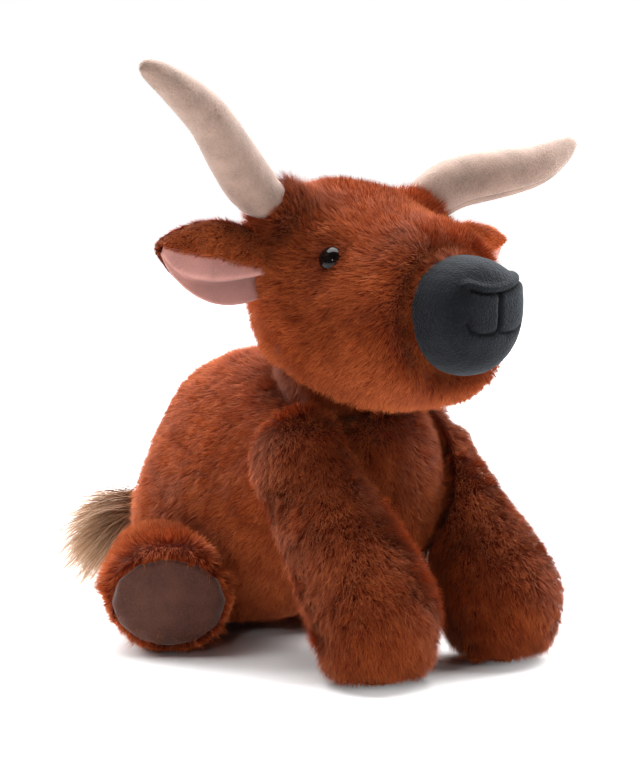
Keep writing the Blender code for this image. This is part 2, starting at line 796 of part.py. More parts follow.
def make_horn(side, sign, seat, frame):
    """A suede horn bent to its own line, with its stuffing, open where it is sewn on."""
    points = []
    radii = []
    for out, forward, up, girth in HORN_ROUTE_SHARES[side]:
        reach = sign * out * HORN_REACH[side]
        points.append(seat + Vector((reach, -forward * HORN_SWEEP, up * HORN_RISE[side])))
        radii.append(girth * HORN_ROOT_RADIUS)
    rings = route_rings(points, radii, radii, Y_AXIS)
    empty = pivot_empty(f"horn_{side}_pivot", seat, parent=frame)
    cup = socket(f"horn_socket_{side}", seat, HORN_BALL, Y_AXIS, frame)
    skin = loft(f"horn_skin_{side}", rings, CAGE_SIDES, 1, toy)
    hollow = loft(f"horn_hollow_{side}", inset_rings(rings, SUEDE_WALL), CAGE_SIDES, 1, cutters, frame)
    combine(skin, "DIFFERENCE", as_cutter(hollow), cup)
    filling = loft(
        f"horn_stuffing_{side}", inset_rings(rings, SUEDE_WALL + PIECE_GAP), CAGE_SIDES, 1, toy
    )
    combine(filling, "DIFFERENCE", cup)
    hung([skin, filling], empty)
    dressed(skin, "horn")
    dressed(filling, "stuffing")


def ear_sheet(name, side, sign, seat, standoff, hem, thickness, group):
    """A cupped leaf with a thickness, its root at the ear's ball."""
    bm = bmesh.new()
    rows = []
    for place, wide in EAR_OUTLINE_SHARES:
        row = []
        for column in EAR_COLUMN_SHARES:
            half = wide * EAR_WIDTH - hem
            bow = 2 * EAR_CUP * wide * column ** 2
            row.append(bm.verts.new((
                sign * (EAR_BALL / 2 + place * (EAR_LENGTH - hem)),
                -bow - standoff,
                column * half,
            )))
        rows.append(row)
    for row, following in zip(rows, rows[1:]):
        for k in range(len(row) - 1):
            corners = (row[k], row[k + 1], following[k + 1], following[k])
            bm.faces.new(corners if sign > 0 else tuple(reversed(corners)))
    mesh = bpy.data.meshes.new(name)
    bm.to_mesh(mesh)
    bm.free()
    mesh.transform(Matrix.Rotation(radians(-sign * EAR_RISE[side]), 4, "Y"))
    mesh.transform(Matrix.Translation(seat))
    sheet = new_object(name, mesh, group)
    rounding = sheet.modifiers.new("Rounding", "SUBSURF")
    rounding.levels = 1
    rounding.render_levels = 1
    body = sheet.modifiers.new("Thickness", "SOLIDIFY")
    body.thickness = thickness
    body.offset = 0
    return sheet


def make_ear(side, sign, seat, frame, clearance):
    """A plush ear back with its smooth lining sewn inside the cup."""
    empty = pivot_empty(f"ear_{side}_pivot", seat, parent=frame)
    cup = socket(f"ear_socket_{side}", seat, EAR_BALL, Z_AXIS, frame)
    horn_socket = as_cutter(
        ball(
            f"ear_by_horn_{side}",
            Vector((sign * HORN_OUT, HORN_BACK, HORN_UP)),
            HORN_BALL + 4 * SEAM_GAP,
            cutters,
            frame,
        )
    )
    head_cuts = turned_cutters(
        f"head_by_ear_{side}", clearance, seat, Z_AXIS, EAR_SWING, frame
    )
    lining_place = EAR_BACK_THICKNESS / 2 + EAR_LINING_THICKNESS / 2 + 2 * PIECE_GAP
    back = ear_sheet(f"ear_back_{side}", side, sign, seat, 0, 0, EAR_BACK_THICKNESS, toy)
    lining = ear_sheet(
        f"ear_lining_{side}", side, sign, seat, lining_place, EAR_HEM,
        EAR_LINING_THICKNESS, toy,
    )
    for piece in (back, lining):
        combine(piece, "DIFFERENCE", cup, horn_socket)
        cut_clear(piece, head_cuts)
    hung([back, lining], empty)
    dressed(back, "plush")
    dressed(lining, "pink")


def make_front_leg(side, sign, clearance, floor):
    """Front leg skin, stuffing and sole, a cup on the shoulder ball at the top."""
    shoulder = seats()[f"shoulder_{side}"][0]
    foot = Vector((sign * FRONT_FOOT_OUT[side], -FRONT_FOOT_AHEAD, FRONT_FOOT_RADIUS))
    places = []
    girths = []
    for share, girth in FRONT_LEG_SHARES:
        places.append(shoulder.lerp(foot, share))
        girths.append(girth * FRONT_LEG_RADIUS[side])
    for share, girth in FRONT_FOOT_SHARES:
        places.append(shoulder.lerp(foot, share))
        girths.append(girth * FRONT_FOOT_RADIUS)
    rings = settled(route_rings(places, girths, girths, X_AXIS), LEG_SIDES, 1)
    sole = (Vector((foot.x, foot.y, 0)), Z_AXIS, FRONT_SOLE_RADIUS, 1.0)
    cuts = turned_cutters(
        f"trunk_by_front_leg_{side}", clearance, shoulder, X_AXIS, FRONT_SWING
    )
    make_leg("front", side, seats()[f"shoulder_{side}"], rings, cuts, sole, floor)


def make_hind_leg(side, sign, clearance, floor):
    """Hind leg skin, stuffing and sole, lying on the floor with its sole outward."""
    hip = seats()[f"hip_{side}"][0]
    turn = Matrix.Rotation(radians(-sign * HIND_LEG_SPLAY), 3, "Z")
    ahead = turn.inverted() @ Vector((0, -1, 0))
    across = ahead.cross(Z_AXIS)
    rings = []
    for place, wide, tall in HIND_LEG_SHARES:
        centre = hip + ahead * (place * HIND_LEG_REACH)
        rings.append((centre, across, Z_AXIS, wide * HIND_LEG_WIDTH, tall * HIND_LEG_HEIGHT))
    rings = settled(rings, LEG_SIDES, 1)
    sole_middle = rings[-1][0] - Z_AXIS * HIND_SOLE_DROP
    sole = (sole_middle, ahead, HIND_SOLE_WIDTH / 2, HIND_SOLE_HEIGHT / HIND_SOLE_WIDTH)
    angles = [sign * angle for angle in HIND_SWING]
    cuts = turned_cutters(f"trunk_by_hind_leg_{side}", clearance, hip, Z_AXIS, angles)
    make_leg("hind", side, seats()[f"hip_{side}"], rings, cuts, sole, floor)


def make_leg(kind, side, seat, rings, cuts, sole, floor):
    """A stuffed leg: a skin open at the joint and at the sole, its stuffing and its sole."""
    sole_middle, sole_way, sole_radius, squash = sole
    empty = pivot_empty(f"{kind}_leg_{side}_pivot", seat[0])
    cup = socket(f"{kind}_socket_{side}", *seat)
    hollow = as_cutter(
        loft(f"{kind}_hollow_{side}", inset_rings(rings, PLUSH_WALL), CAGE_SIDES, 1, cutters)
    )
    hole = cylinder(
        f"{kind}_sole_hole_{side}", sole_middle, sole_way, sole_radius + SEAM_GAP,
        2 * sole_radius, cutters, squash=squash,
    )
    patch = cylinder(
        f"{kind}_sole_patch_{side}", sole_middle, sole_way, sole_radius,
        2 * sole_radius - 2 * SEAM_GAP, cutters, squash=squash,
    )
    skin = loft(f"{kind}_leg_skin_{side}", rings, LEG_SIDES, 1, toy)
    combine(skin, "DIFFERENCE", floor, cup, hollow, as_cutter(hole))
    cut_clear(skin, cuts)
    filling = loft(
        f"{kind}_leg_stuffing_{side}", inset_rings(rings, PLUSH_WALL + PIECE_GAP), CAGE_SIDES, 1, toy
    )
    combine(filling, "DIFFERENCE", cup)
    cut_clear(filling, cuts)
    pad = loft(f"{kind}_sole_{side}", rings, LEG_SIDES, 1, toy)
    combine(pad, "INTERSECT", as_cutter(patch))
    combine(pad, "DIFFERENCE", hollow, floor)
    hung([skin, filling, pad], empty)
    dressed(skin, "plush")
    dressed(filling, "stuffing")
    dressed(pad, "suede")


def make_tail(seat):
    """The tail's sleeve on its ball, and the tassel held in its open end."""
    empty = pivot_empty("tail_pivot", seat)
    points = []
    radii = []
    for back, aside, down, girth in TAIL_SLEEVE_SHARES:
        points.append(
            seat + Vector((-aside * TAIL_SIDE, back * TAIL_REACH, -down * TAIL_FALL))
        )
        radii.append(girth * TAIL_RADIUS)
    rings = route_rings(points, radii, radii, X_AXIS)
    sleeve = loft("tail_sleeve", rings, CAGE_SIDES, 1, toy)
    combine(sleeve, "DIFFERENCE", socket("tail_socket", seat, TAIL_BALL, Z_AXIS))

    points = []
    widths = []
    depths = []
    for back, aside, down, wide, deep in TASSEL_SHARES:
        points.append(
            seat + Vector((-aside * TAIL_SIDE, back * TAIL_REACH, -down * TAIL_FALL))
        )
        widths.append(wide * TASSEL_WIDTH)
        depths.append(deep * TASSEL_DEPTH)
    rings = route_rings(points, widths, depths, Z_AXIS)
    tassel = loft("tail_tassel", rings, CAGE_SIDES, 1, toy)
    room = loft("tassel_room", inset_rings(rings, -PIECE_GAP), CAGE_SIDES, 1, cutters)
    combine(sleeve, "DIFFERENCE", as_cutter(room))
    hung([sleeve, tassel], empty)
    dressed(sleeve, "plush")
    dressed(tassel, "hair")


def main():
    """Make every piece of the toy."""
    trunk_clearance, floor, tail_seat = make_trunk()
    make_neck()
    frame, head_clearance, horn_seats, ear_seats = make_head(trunk_clearance)
    for side, sign in SIDES.items():
        make_horn(side, sign, horn_seats[side], frame)
        make_ear(side, sign, ear_seats[side], frame, head_clearance)
        make_front_leg(side, sign, trunk_clearance, floor)
        make_hind_leg(side, sign, trunk_clearance, floor)
    make_tail(tail_seat)


for leftover in list(bpy.data.objects):
    bpy.data.objects.remove(leftover)
toy = collection("plush_highland_bull")
cutters = collection("cutters")

if __name__ == "__main__":
    main()
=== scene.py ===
"""Dresses the seated plush highland bull and sets up its studio.

Every plush piece is one closed padded form with its pile grown on it: flat tapered hairs that
follow a combing direction, gather in tufts and stop at the floor. Horns, ears, muzzle, eyes,
soles and tail are made to the photograph. Metres, +Z up; the toy faces -Y and its right is -X.
"""

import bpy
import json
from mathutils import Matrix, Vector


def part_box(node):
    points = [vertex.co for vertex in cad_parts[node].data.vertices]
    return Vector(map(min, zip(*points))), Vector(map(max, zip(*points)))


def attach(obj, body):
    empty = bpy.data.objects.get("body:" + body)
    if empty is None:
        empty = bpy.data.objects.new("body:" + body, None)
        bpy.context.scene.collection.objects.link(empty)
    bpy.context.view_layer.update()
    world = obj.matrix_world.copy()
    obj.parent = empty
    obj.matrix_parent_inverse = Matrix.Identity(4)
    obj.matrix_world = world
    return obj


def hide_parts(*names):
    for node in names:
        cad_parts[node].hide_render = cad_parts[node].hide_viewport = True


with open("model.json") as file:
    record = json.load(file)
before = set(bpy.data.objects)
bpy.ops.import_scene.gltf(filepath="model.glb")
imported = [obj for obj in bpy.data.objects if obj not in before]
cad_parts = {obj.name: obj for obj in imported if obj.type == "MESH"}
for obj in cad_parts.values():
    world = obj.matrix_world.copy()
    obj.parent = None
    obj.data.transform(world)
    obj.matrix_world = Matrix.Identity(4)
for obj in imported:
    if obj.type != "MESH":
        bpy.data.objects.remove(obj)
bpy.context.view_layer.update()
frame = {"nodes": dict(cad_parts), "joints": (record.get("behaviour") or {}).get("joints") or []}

import json
import random
from math import atan2, cos, exp, pi, radians, sin

import bmesh
import bpy
from bpy.props import FloatProperty, FloatVectorProperty, PointerProperty
from mathutils import Matrix, Vector
from mathutils.bvhtree import BVHTree

bl_info = {
    "name": "Plush highland bull",
    "version": (1, 0, 0),
    "blender": (4, 5, 0),
    "location": "3D View > Sidebar > Highland",
    "description": "Pile, horns, ears, muzzle and studio of a seated plush highland bull",
    "category": "Object",
}

MM = 0.001
Y_AXIS = Vector((0, 1, 0))
Z_AXIS = Vector((0, 0, 1))
SIDES = {"right": -1, "left": 1}
FLOOR_CLEARANCE = 0.4 * MM
BAKE_MAP = "OFBake"
HEAD_PIVOT = Vector((0, -0.098, 0.186))
HEAD_TILT = radians(6.0)
EAR_SEAT = Vector((0.040, 0.014, -0.002))
EAR_RISE = {"right": radians(5.5), "left": radians(18.0)}
EAR_LENGTH = 67 * MM
HORN_SEAT = Vector((0.041, 0.009, 0.026))
HORN_REACH = {"right": 0.110, "left": 0.097}
HORN_RISE = {"right": 0.060, "left": 0.050}
HORN_SWEEP = 0.018
HORN_ROUTES = {
    "right": (
        (0.00, 0.00, 0.00), (0.19, 0.02, 0.12), (0.38, 0.32, 0.42), (0.56, 0.72, 0.67),
        (0.78, 0.94, 0.87), (0.97, 1.00, 0.985), (1.00, 1.00, 1.00),
    ),
    "left": (
        (0.00, 0.00, 0.00), (0.13, 0.02, 0.32), (0.34, 0.32, 0.50), (0.54, 0.72, 0.57),
        (0.77, 0.94, 0.70), (0.96, 1.00, 0.94), (0.99, 1.00, 1.00),
    ),
}
TAIL_SEAT = Vector((0, 0.0484, 0.056))
MUZZLE_SEAM_Y = -0.164
MUZZLE_FRONT_Y = -0.178
MUZZLE_MIDDLE_Z = 0.174
RIDGE_TOP = 7.7
RIDGE_BOW = 0.0125
EYE_RADIUS = 6.2 * MM
EYE_FLATNESS = 0.74
VOXEL = {
    "body": 4.2 * MM, "neck": 3.5 * MM, "head": 4.0 * MM, "leg": 3.6 * MM, "horn": 1.5 * MM,
    "muzzle": 1.1 * MM, "sole": 1.4 * MM, "tail": 2.2 * MM, "shell": 4.0 * MM,
}
CHEST = ((0.010, -0.120, 0.066), 24 * MM, 7.0)
THROAT = ((0.020, -0.118, 0.128), 22 * MM, 4.0)
NAPE = ((0.034, -0.080, 0.124), 18 * MM, 8.0)
CHEEK = ((0.022, -0.156, 0.140), 20 * MM, 5.0)
PUFF_FRAMES = 20
PUFF_PRESSURE = 4
LOCKS = 60
STRANDS = 3600
STRAND_STEPS = 7
TOY_MIDDLE = Vector((0, -0.073, 0.1315))
CAMERA_LENS = 145
FLOOR_SIZE = 6.0


class PlushSettings(bpy.types.PropertyGroup):
    """Sizes and colours of the plush and its pile."""

    pile: FloatProperty(
        name="Pile", description="Length of the hairs", default=7.8 * MM, unit="LENGTH"
    )
    hair_width: FloatProperty(
        name="Hair width", description="Width of a hair at its middle", default=0.325 * MM,
        unit="LENGTH",
    )
    hairs_per_area: FloatProperty(
        name="Hairs per area", description="Hairs on a square metre", default=4.4e6
    )
    sink: FloatProperty(
        name="Sink", description="How far the backing lies inside the toy's outline",
        default=4.4 * MM, unit="LENGTH",
    )
    puff: FloatProperty(
        name="Puff", description="How far the filling may push the backing out",
        default=1.6 * MM, unit="LENGTH",
    )
    tuft: FloatProperty(
        name="Tuft", description="Distance between tufts", default=5.5 * MM, unit="LENGTH"
    )
    # The dark root colour is partly the fur's own colour and partly painted shade deep in the
    # pile.
    root: FloatVectorProperty(
        name="Root", description="Colour at the roots", subtype="COLOR", size=3,
        default=(0.13, 0.013, 0.003),
    )
    middle: FloatVectorProperty(
        name="Middle", description="Colour along the hairs", subtype="COLOR", size=3,
        default=(0.25, 0.027, 0.005),
    )
    tip: FloatVectorProperty(
        name="Tip", description="Colour at the tips", subtype="COLOR", size=3,
        default=(0.67, 0.155, 0.040),
    )


class TrimSettings(bpy.types.PropertyGroup):
    """Colours of the smooth cloths and of the tassel."""

    horn: FloatVectorProperty(
        name="Horn", description="Suede of the horns", subtype="COLOR", size=3,
        default=(0.385, 0.262, 0.208),
    )
    lining: FloatVectorProperty(
        name="Lining", description="Lining of the ears", subtype="COLOR", size=3,
        default=(0.60, 0.29, 0.25),
    )
    muzzle: FloatVectorProperty(
        name="Muzzle", description="Velour of the muzzle", subtype="COLOR", size=3,
        default=(0.0052, 0.0058, 0.0080),
    )
    sole: FloatVectorProperty(
        name="Sole", description="Suede of the soles", subtype="COLOR", size=3,
        default=(0.102, 0.039, 0.026),
    )
    tassel_root: FloatVectorProperty(
        name="Tassel root", description="Tassel hair at its root", subtype="COLOR", size=3,
        default=(0.26, 0.090, 0.034),
    )
    tassel_tip: FloatVectorProperty(
        name="Tassel tip", description="Tassel hair at its tip", subtype="COLOR", size=3,
        default=(0.95, 0.66, 0.44),
    )


class StudioSettings(bpy.types.PropertyGroup):
    """Camera and lamps."""

    azimuth: FloatProperty(
        name="Azimuth", description="Turn of the camera round the toy", subtype="ANGLE",
        default=radians(-42.0),
    )
    elevation: FloatProperty(
        name="Elevation", description="Height of the camera over the horizon", subtype="ANGLE",
        default=radians(6.5),
    )
    distance: FloatProperty(
        name="Distance", description="Camera to toy", default=1.50, unit="LENGTH"
    )
    top_power: FloatProperty(
        name="Top lamp", description="Power of the softbox overhead", default=46.0, unit="POWER"
    )
    rim_power: FloatProperty(
        name="Rim lamps", description="Power of the lamps behind the toy", default=21.0,
        unit="POWER",
    )
    fill_power: FloatProperty(
        name="Fill lamps", description="Power of the lamps beside the camera", default=1.0,
        unit="POWER",
    )
    air: FloatProperty(
        name="Air", description="Strength of the light from all round", default=0.06
    )


def plush():
    """The plush's settings."""
    return bpy.context.scene.highland_plush


def trim():
    """The trim's settings."""
    return bpy.context.scene.highland_trim


def studio():
    """The studio's settings."""
    return bpy.context.scene.highland_studio


def new_object(name, data):
    """An object of this mesh, lamp or camera, linked to the scene."""
    made = bpy.data.objects.new(name, data)
    bpy.context.scene.collection.objects.link(made)
    return made


def mesh_from(name, bm):
    """A mesh made from a bmesh, which is freed."""
    mesh = bpy.data.meshes.new(name)
    bm.to_mesh(mesh)
    bm.free()
    return mesh


def centre_of(node):
    """The middle of a CAD node's box."""
    low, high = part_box(node)
    return (Vector(low) + Vector(high)) / 2


def head_place(place):
    """A place in the head's own frame, which is tilted, as a place in the world."""
    return HEAD_PIVOT + Matrix.Rotation(HEAD_TILT, 3, "Y") @ place


def applied(piece):
    """The piece with its modifiers made part of its mesh."""
    bpy.context.view_layer.update()
    seen = piece.evaluated_get(bpy.context.evaluated_depsgraph_get())
    mesh = bpy.data.meshes.new_from_object(seen)
    piece.modifiers.clear()
    old = piece.data
    piece.data = mesh
    bpy.data.meshes.remove(old)
    return piece


def node(tree, kind, inputs=(), **options):
    """A node with its options and inputs set; an input that is a socket gets a link."""
    made = tree.nodes.new(kind)
    for option, value in options.items():
        setattr(made, option, value)
    for key, value in dict(inputs).items():
        if isinstance(value, bpy.types.NodeSocket):
            tree.links.new(value, made.inputs[key])
        else:
            made.inputs[key].default_value = value
    return made


def scaled(tree, vector, amount):
    """A vector times a number."""
    made = node(tree, "ShaderNodeVectorMath", {0: vector, "Scale": amount}, operation="SCALE")
    return made.outputs[0]


def vector_math(tree, operation, first, second):
    """The outputs of a calculation on two vectors."""
    return node(
        tree, "ShaderNodeVectorMath", {0: first, 1: second}, operation=operation
    ).outputs


def summed(tree, *vectors):
    """The sum of some vectors."""
    total = vectors[0]
    for vector in vectors[1:]:
        total = vector_math(tree, "ADD", total, vector)[0]
    return total


def calculated(tree, operation, first, second=0.0, third=0.0):
    """The result of a calculation on two or three numbers."""
    made = node(tree, "ShaderNodeMath", {0: first, 1: second, 2: third}, operation=operation)
    return made.outputs[0]


def noise(tree, place, scale, detail=2.0):
    """The outputs of a noise texture at a place."""
    return node(
        tree, "ShaderNodeTexNoise", {"Vector": place, "Scale": scale, "Detail": detail}
    ).outputs


def own_place(tree):
    """A place on the piece, in its object's coordinates."""
    return node(tree, "ShaderNodeTexCoord").outputs["Object"]


def marked(tree, name):
    """A share that the piece's points carry, for a material."""
    return node(tree, "ShaderNodeAttribute", attribute_name=name).outputs["Fac"]


def attribute(tree, name, kind="FLOAT"):
    """A named attribute of the geometry that is being made."""
    return node(
        tree, "GeometryNodeInputNamedAttribute", {"Name": name}, data_type=kind
    ).outputs[0]


PILE_NUMBERS = (
    "Hairs per area", "Length", "Width", "Lift", "Lean", "Gather", "Swirl", "Ruffle", "Stray",
    "Tuft",
)


def pile_group():
    """Geometry nodes that grow combed hairs on a form and keep the form under them.

    The form's attributes steer them: comb is the way that the pile lies, pile its length as a
    share, cover its density as a share, and a fourth share darkens it with painted shade (below
    nothing it is paler).
    """
    name = "Combed pile"
    if name in bpy.data.node_groups:
        return bpy.data.node_groups[name]
    tree = bpy.data.node_groups.new(name, "GeometryNodeTree")
    tree.interface.new_socket("Form", in_out="INPUT", socket_type="NodeSocketGeometry")
    tree.interface.new_socket("Hair", in_out="INPUT", socket_type="NodeSocketObject")
    for title in PILE_NUMBERS:
        tree.interface.new_socket(title, in_out="INPUT", socket_type="NodeSocketFloat")
    tree.interface.new_socket("Pelt", in_out="OUTPUT", socket_type="NodeSocketGeometry")
    given = tree.nodes.new("NodeGroupInput").outputs

    density = calculated(tree, "MULTIPLY", attribute(tree, "cover"), given["Hairs per area"])
    roots = node(
        tree, "GeometryNodeDistributePointsOnFaces", {"Mesh": given["Form"], "Density": density}
    )
    place = tree.nodes.new("GeometryNodeInputPosition").outputs[0]
    warped = summed(tree, place, scaled(tree, noise(tree, place, 210.0)["Color"], 3.5 * MM))
    tufts = node(
        tree, "ShaderNodeTexVoronoi",
        {"Vector": warped, "Scale": calculated(tree, "DIVIDE", 1.0, given["Tuft"])},
    )
    swirl = noise(tree, place, 38.0, 1.0)["Color"]
    ruffle = noise(tree, place, 150.0)["Color"]
    shades = noise(tree, place, 70.0, 4.0)[0]

    away = vector_math(tree, "SUBTRACT", tufts.outputs["Position"], warped)[0]
    reach = calculated(tree, "DIVIDE", given["Gather"], given["Tuft"])
    bends = [
        vector_math(tree, "SUBTRACT", colour, (0.5, 0.5, 0.5))[0] for colour in (swirl, ruffle)
    ]
    stray = node(
        tree, "FunctionNodeRandomValue", {0: (-1, -1, -1), 1: (1, 1, 1)},
        data_type="FLOAT_VECTOR",
    ).outputs[0]
    lie = summed(
        tree,
        scaled(tree, attribute(tree, "comb", "FLOAT_VECTOR"), given["Lean"]),
        scaled(tree, roots.outputs["Normal"], given["Lift"]),
        scaled(tree, away, reach),
        scaled(tree, bends[0], given["Swirl"]),
        scaled(tree, bends[1], given["Ruffle"]),
        scaled(tree, stray, given["Stray"]),
    )
    pointed = node(
        tree, "FunctionNodeAlignRotationToVector", {"Vector": lie}, axis="Z"
    ).outputs[0]
    outward = summed(tree, roots.outputs["Normal"], scaled(tree, stray, 0.45))
    turned = node(
        tree, "FunctionNodeAlignRotationToVector", {"Rotation": pointed, "Vector": outward},
        axis="Y", pivot_axis="Z",
    ).outputs[0]

    chance = node(tree, "FunctionNodeRandomValue", {2: 0.62, 3: 1.10, "Seed": 3}).outputs[1]
    length = calculated(tree, "MULTIPLY", given["Length"], attribute(tree, "pile"))
    length = calculated(tree, "MULTIPLY", length, chance)
    size = node(
        tree, "ShaderNodeCombineXYZ", {"X": given["Width"], "Y": length, "Z": length}
    ).outputs[0]
    hair = node(tree, "GeometryNodeObjectInfo", {"Object": given["Hair"]})
    hairs = node(
        tree, "GeometryNodeInstanceOnPoints",
        {
            "Points": roots.outputs["Points"], "Instance": hair.outputs["Geometry"],
            "Rotation": turned, "Scale": size,
        },
    ).outputs[0]

    luck = node(tree, "FunctionNodeRandomValue", {2: -0.20, 3: 0.20, "Seed": 7}).outputs[1]
    tone = calculated(tree, "MULTIPLY_ADD", shades, 1.5, -0.25)
    # Painted shade: this share darkens the hair's tone where shade falls, under the head and in
    # creases round the eyes and horns.
    tone = calculated(tree, "SUBTRACT", tone, attribute(tree, "wet"))
    tone = node(
        tree, "ShaderNodeClamp", {"Value": calculated(tree, "ADD", tone, luck)}
    ).outputs[0]
    hairs = node(
        tree, "GeometryNodeStoreNamedAttribute",
        {"Geometry": hairs, "Name": "tone", "Value": tone}, domain="INSTANCE",
    ).outputs[0]
    hairs = node(tree, "GeometryNodeRealizeInstances", {"Geometry": hairs}).outputs[0]
    lifted = vector_math(tree, "MAXIMUM", place, (-9.0, -9.0, FLOOR_CLEARANCE))[0]
    hairs = node(
        tree, "GeometryNodeSetPosition", {"Geometry": hairs, "Position": lifted}
    ).outputs[0]
    flat = node(
        tree, "ShaderNodeSeparateXYZ", {0: attribute(tree, BAKE_MAP, "FLOAT_VECTOR")}
    ).outputs
    across = calculated(tree, "MULTIPLY_ADD", attribute(tree, "tone"), 0.97, 0.01)
    across = calculated(tree, "MULTIPLY_ADD", flat[0], 0.008, across)
    along = calculated(tree, "MULTIPLY_ADD", flat[1], 0.88, 0.10)
    hair_map = node(tree, "ShaderNodeCombineXYZ", {"X": across, "Y": along}).outputs[0]
    hairs = stored_map(tree, hairs, hair_map)

    spot = node(tree, "ShaderNodeSeparateXYZ", {0: place}).outputs
    wide = calculated(tree, "MULTIPLY_ADD", spot[0], 0.9, 0.3)
    deep = calculated(tree, "ADD", spot[1], spot[2])
    deep = calculated(tree, "MULTIPLY_ADD", deep, 0.08, 0.26)
    form_map = node(tree, "ShaderNodeCombineXYZ", {"X": wide, "Y": deep}).outputs[0]
    form = stored_map(tree, given["Form"], form_map)
    both = tree.nodes.new("GeometryNodeJoinGeometry")
    tree.links.new(hairs, both.inputs[0])
    tree.links.new(form, both.inputs[0])
    node(tree, "NodeGroupOutput", {0: both.outputs[0]})
    return tree


def stored_map(tree, geometry, value):
    """Geometry with a map laid on its corners."""
    return node(
        tree, "GeometryNodeStoreNamedAttribute",
        {"Geometry": geometry, "Name": BAKE_MAP, "Value": value},
        data_type="FLOAT2", domain="CORNER",
    ).outputs[0]


def short_hair():
    """The hair of the pile: a flat kite of unit length, bowed outward, with a map along it."""
    name = "pile_hair"
    if name in bpy.data.objects:
        return bpy.data.objects[name]
    bm = bmesh.new()
    corners = ((0, 0, 0), (0.5, 0.10, 0.45), (0, 0, 1), (-0.5, 0.10, 0.45))
    verts = [bm.verts.new(corner) for corner in corners]
    layer = bm.loops.layers.uv.new(BAKE_MAP)
    for order in ((0, 1, 3), (1, 2, 3)):
        face = bm.faces.new([verts[k] for k in order])
        for loop in face.loops:
            x, _, z = loop.vert.co
            loop[layer].uv = (0.5 + x, z)
    blade = new_object(name, mesh_from(name, bm))
    blade.hide_render = True
    return blade


def padded_form(name, nodes, voxel, sink, smooth=8, thin=False):
    """One closed form over CAD nodes: joined, remeshed, smoothed and drawn in."""
    bm = bmesh.new()
    for part in nodes:
        bm.from_mesh(frame["nodes"][part].data)
    bmesh.ops.remove_doubles(bm, verts=bm.verts, dist=0.01 * MM)
    piece = new_object(name, mesh_from(name, bm))
    remesh = piece.modifiers.new("Remesh", "REMESH")
    remesh.mode = "VOXEL"
    remesh.voxel_size = voxel
    softening = piece.modifiers.new("Softening", "SMOOTH")
    softening.iterations = smooth
    applied(piece)
    keep_largest(piece)
    drawn_in(piece, sink, thin)
    piece.data.shade_smooth()
    return piece


def drawn_in(piece, sink, thin):
    """The piece with its surface drawn in; less where it is thin, if it has thin parts."""
    verts = piece.data.vertices
    steps = [sink] * len(verts)
    if thin:
        tree = search_tree(piece.data)
        for k, vert in enumerate(verts):
            gap = tree.ray_cast(vert.co - vert.normal * 0.5 * MM, -vert.normal)[3] or 1.0
            steps[k] = min(sink, 0.4 * gap)
        for _ in range(10):
            sums = list(steps)
            counts = [1] * len(steps)
            for edge in piece.data.edges:
                first, second = edge.vertices
                sums[first] += steps[second]
                sums[second] += steps[first]
                counts[first] += 1
                counts[second] += 1
            steps = [total / count for total, count in zip(sums, counts)]
    return moved(piece, [-vert.normal * step for vert, step in zip(verts, steps)])


def keep_largest(piece):
    """The piece without the small closed shells that remeshing leaves inside it."""
    bm = bmesh.new()
    bm.from_mesh(piece.data)
    unseen = set(bm.verts)
    shells = []
    while unseen:
        shell = set()
        front = [unseen.pop()]
        shell.add(front[0])
        while front:
            vert = front.pop()
            for edge in vert.link_edges:
                other = edge.other_vert(vert)
                if other in unseen:
                    unseen.discard(other)
                    shell.add(other)
                    front.append(other)
        shells.append(shell)
    shells.sort(key=len)
    spare = [vert for shell in shells[:-1] for vert in shell]
    bmesh.ops.delete(bm, geom=spare, context="VERTS")
    bm.to_mesh(piece.data)
    bm.free()


def puffed(piece, cap):
    """The piece blown up by its filling in a cloth simulation, then subdivided once.
    """
    scene = bpy.context.scene
    start = [vert.co.copy() for vert in piece.data.vertices]
    cloth = piece.modifiers.new("Cloth", "CLOTH")
    cloth.settings.use_pressure = True
    cloth.settings.uniform_pressure_force = PUFF_PRESSURE
    cloth.settings.effector_weights.gravity = 0
    cloth.settings.quality = 5
    cloth.point_cache.frame_start = 1
    cloth.point_cache.frame_end = PUFF_FRAMES
    for moment in range(1, PUFF_FRAMES + 1):
        scene.frame_set(moment)
    seen = piece.evaluated_get(bpy.context.evaluated_depsgraph_get())
    ends = [vert.co.copy() for vert in seen.data.vertices]
    piece.modifiers.clear()
    scene.frame_set(1)
    for vert, old, new in zip(piece.data.vertices, start, ends):
        move = new - old
        vert.co = old + move * min(1, cap / max(move.length, 1e-9))
    finer = piece.modifiers.new("Finer", "SUBSURF")
    finer.levels = 1
    finer.render_levels = 1
    return applied(piece)


def search_tree(mesh):
    """A search tree over a mesh's faces."""
    return BVHTree.FromPolygons(
        [vert.co for vert in mesh.vertices], [face.vertices for face in mesh.polygons]
    )


def outer_tree(nodes):
    """A search tree over the closed outside of some CAD nodes."""
    shell = padded_form("shell", nodes, VOXEL["shell"], 0, 2)
    mesh = shell.data
    tree = search_tree(mesh)
    bpy.data.objects.remove(shell)
    bpy.data.meshes.remove(mesh)
    return tree


def rise(value, low, high):
    """A share that rises from 0 to 1 between two values."""
    return min(1, max(0, (value - low) / (high - low)))


def bell(distance, width):
    """A share that is 1 at no distance and falls off within a width."""
    return exp(-(distance / width) ** 2)


def swelling(place, middle, spread, height):
    """How far a round swelling lifts a place, in millimetres."""
    return bell((place - Vector(middle)).length, spread) * height


def moved(form, moves):
    """The form with each point moved by its own step."""
    for vert, move in zip(form.data.vertices, moves):
        vert.co += move
    form.data.update()
    return form


def depth_in(tree, place):
    """How deep a place lies inside a closed form; less than nothing outside it."""
    near, normal, _, gap = tree.find_nearest(place)
    return gap if (place - near).dot(normal) < 0 else -gap


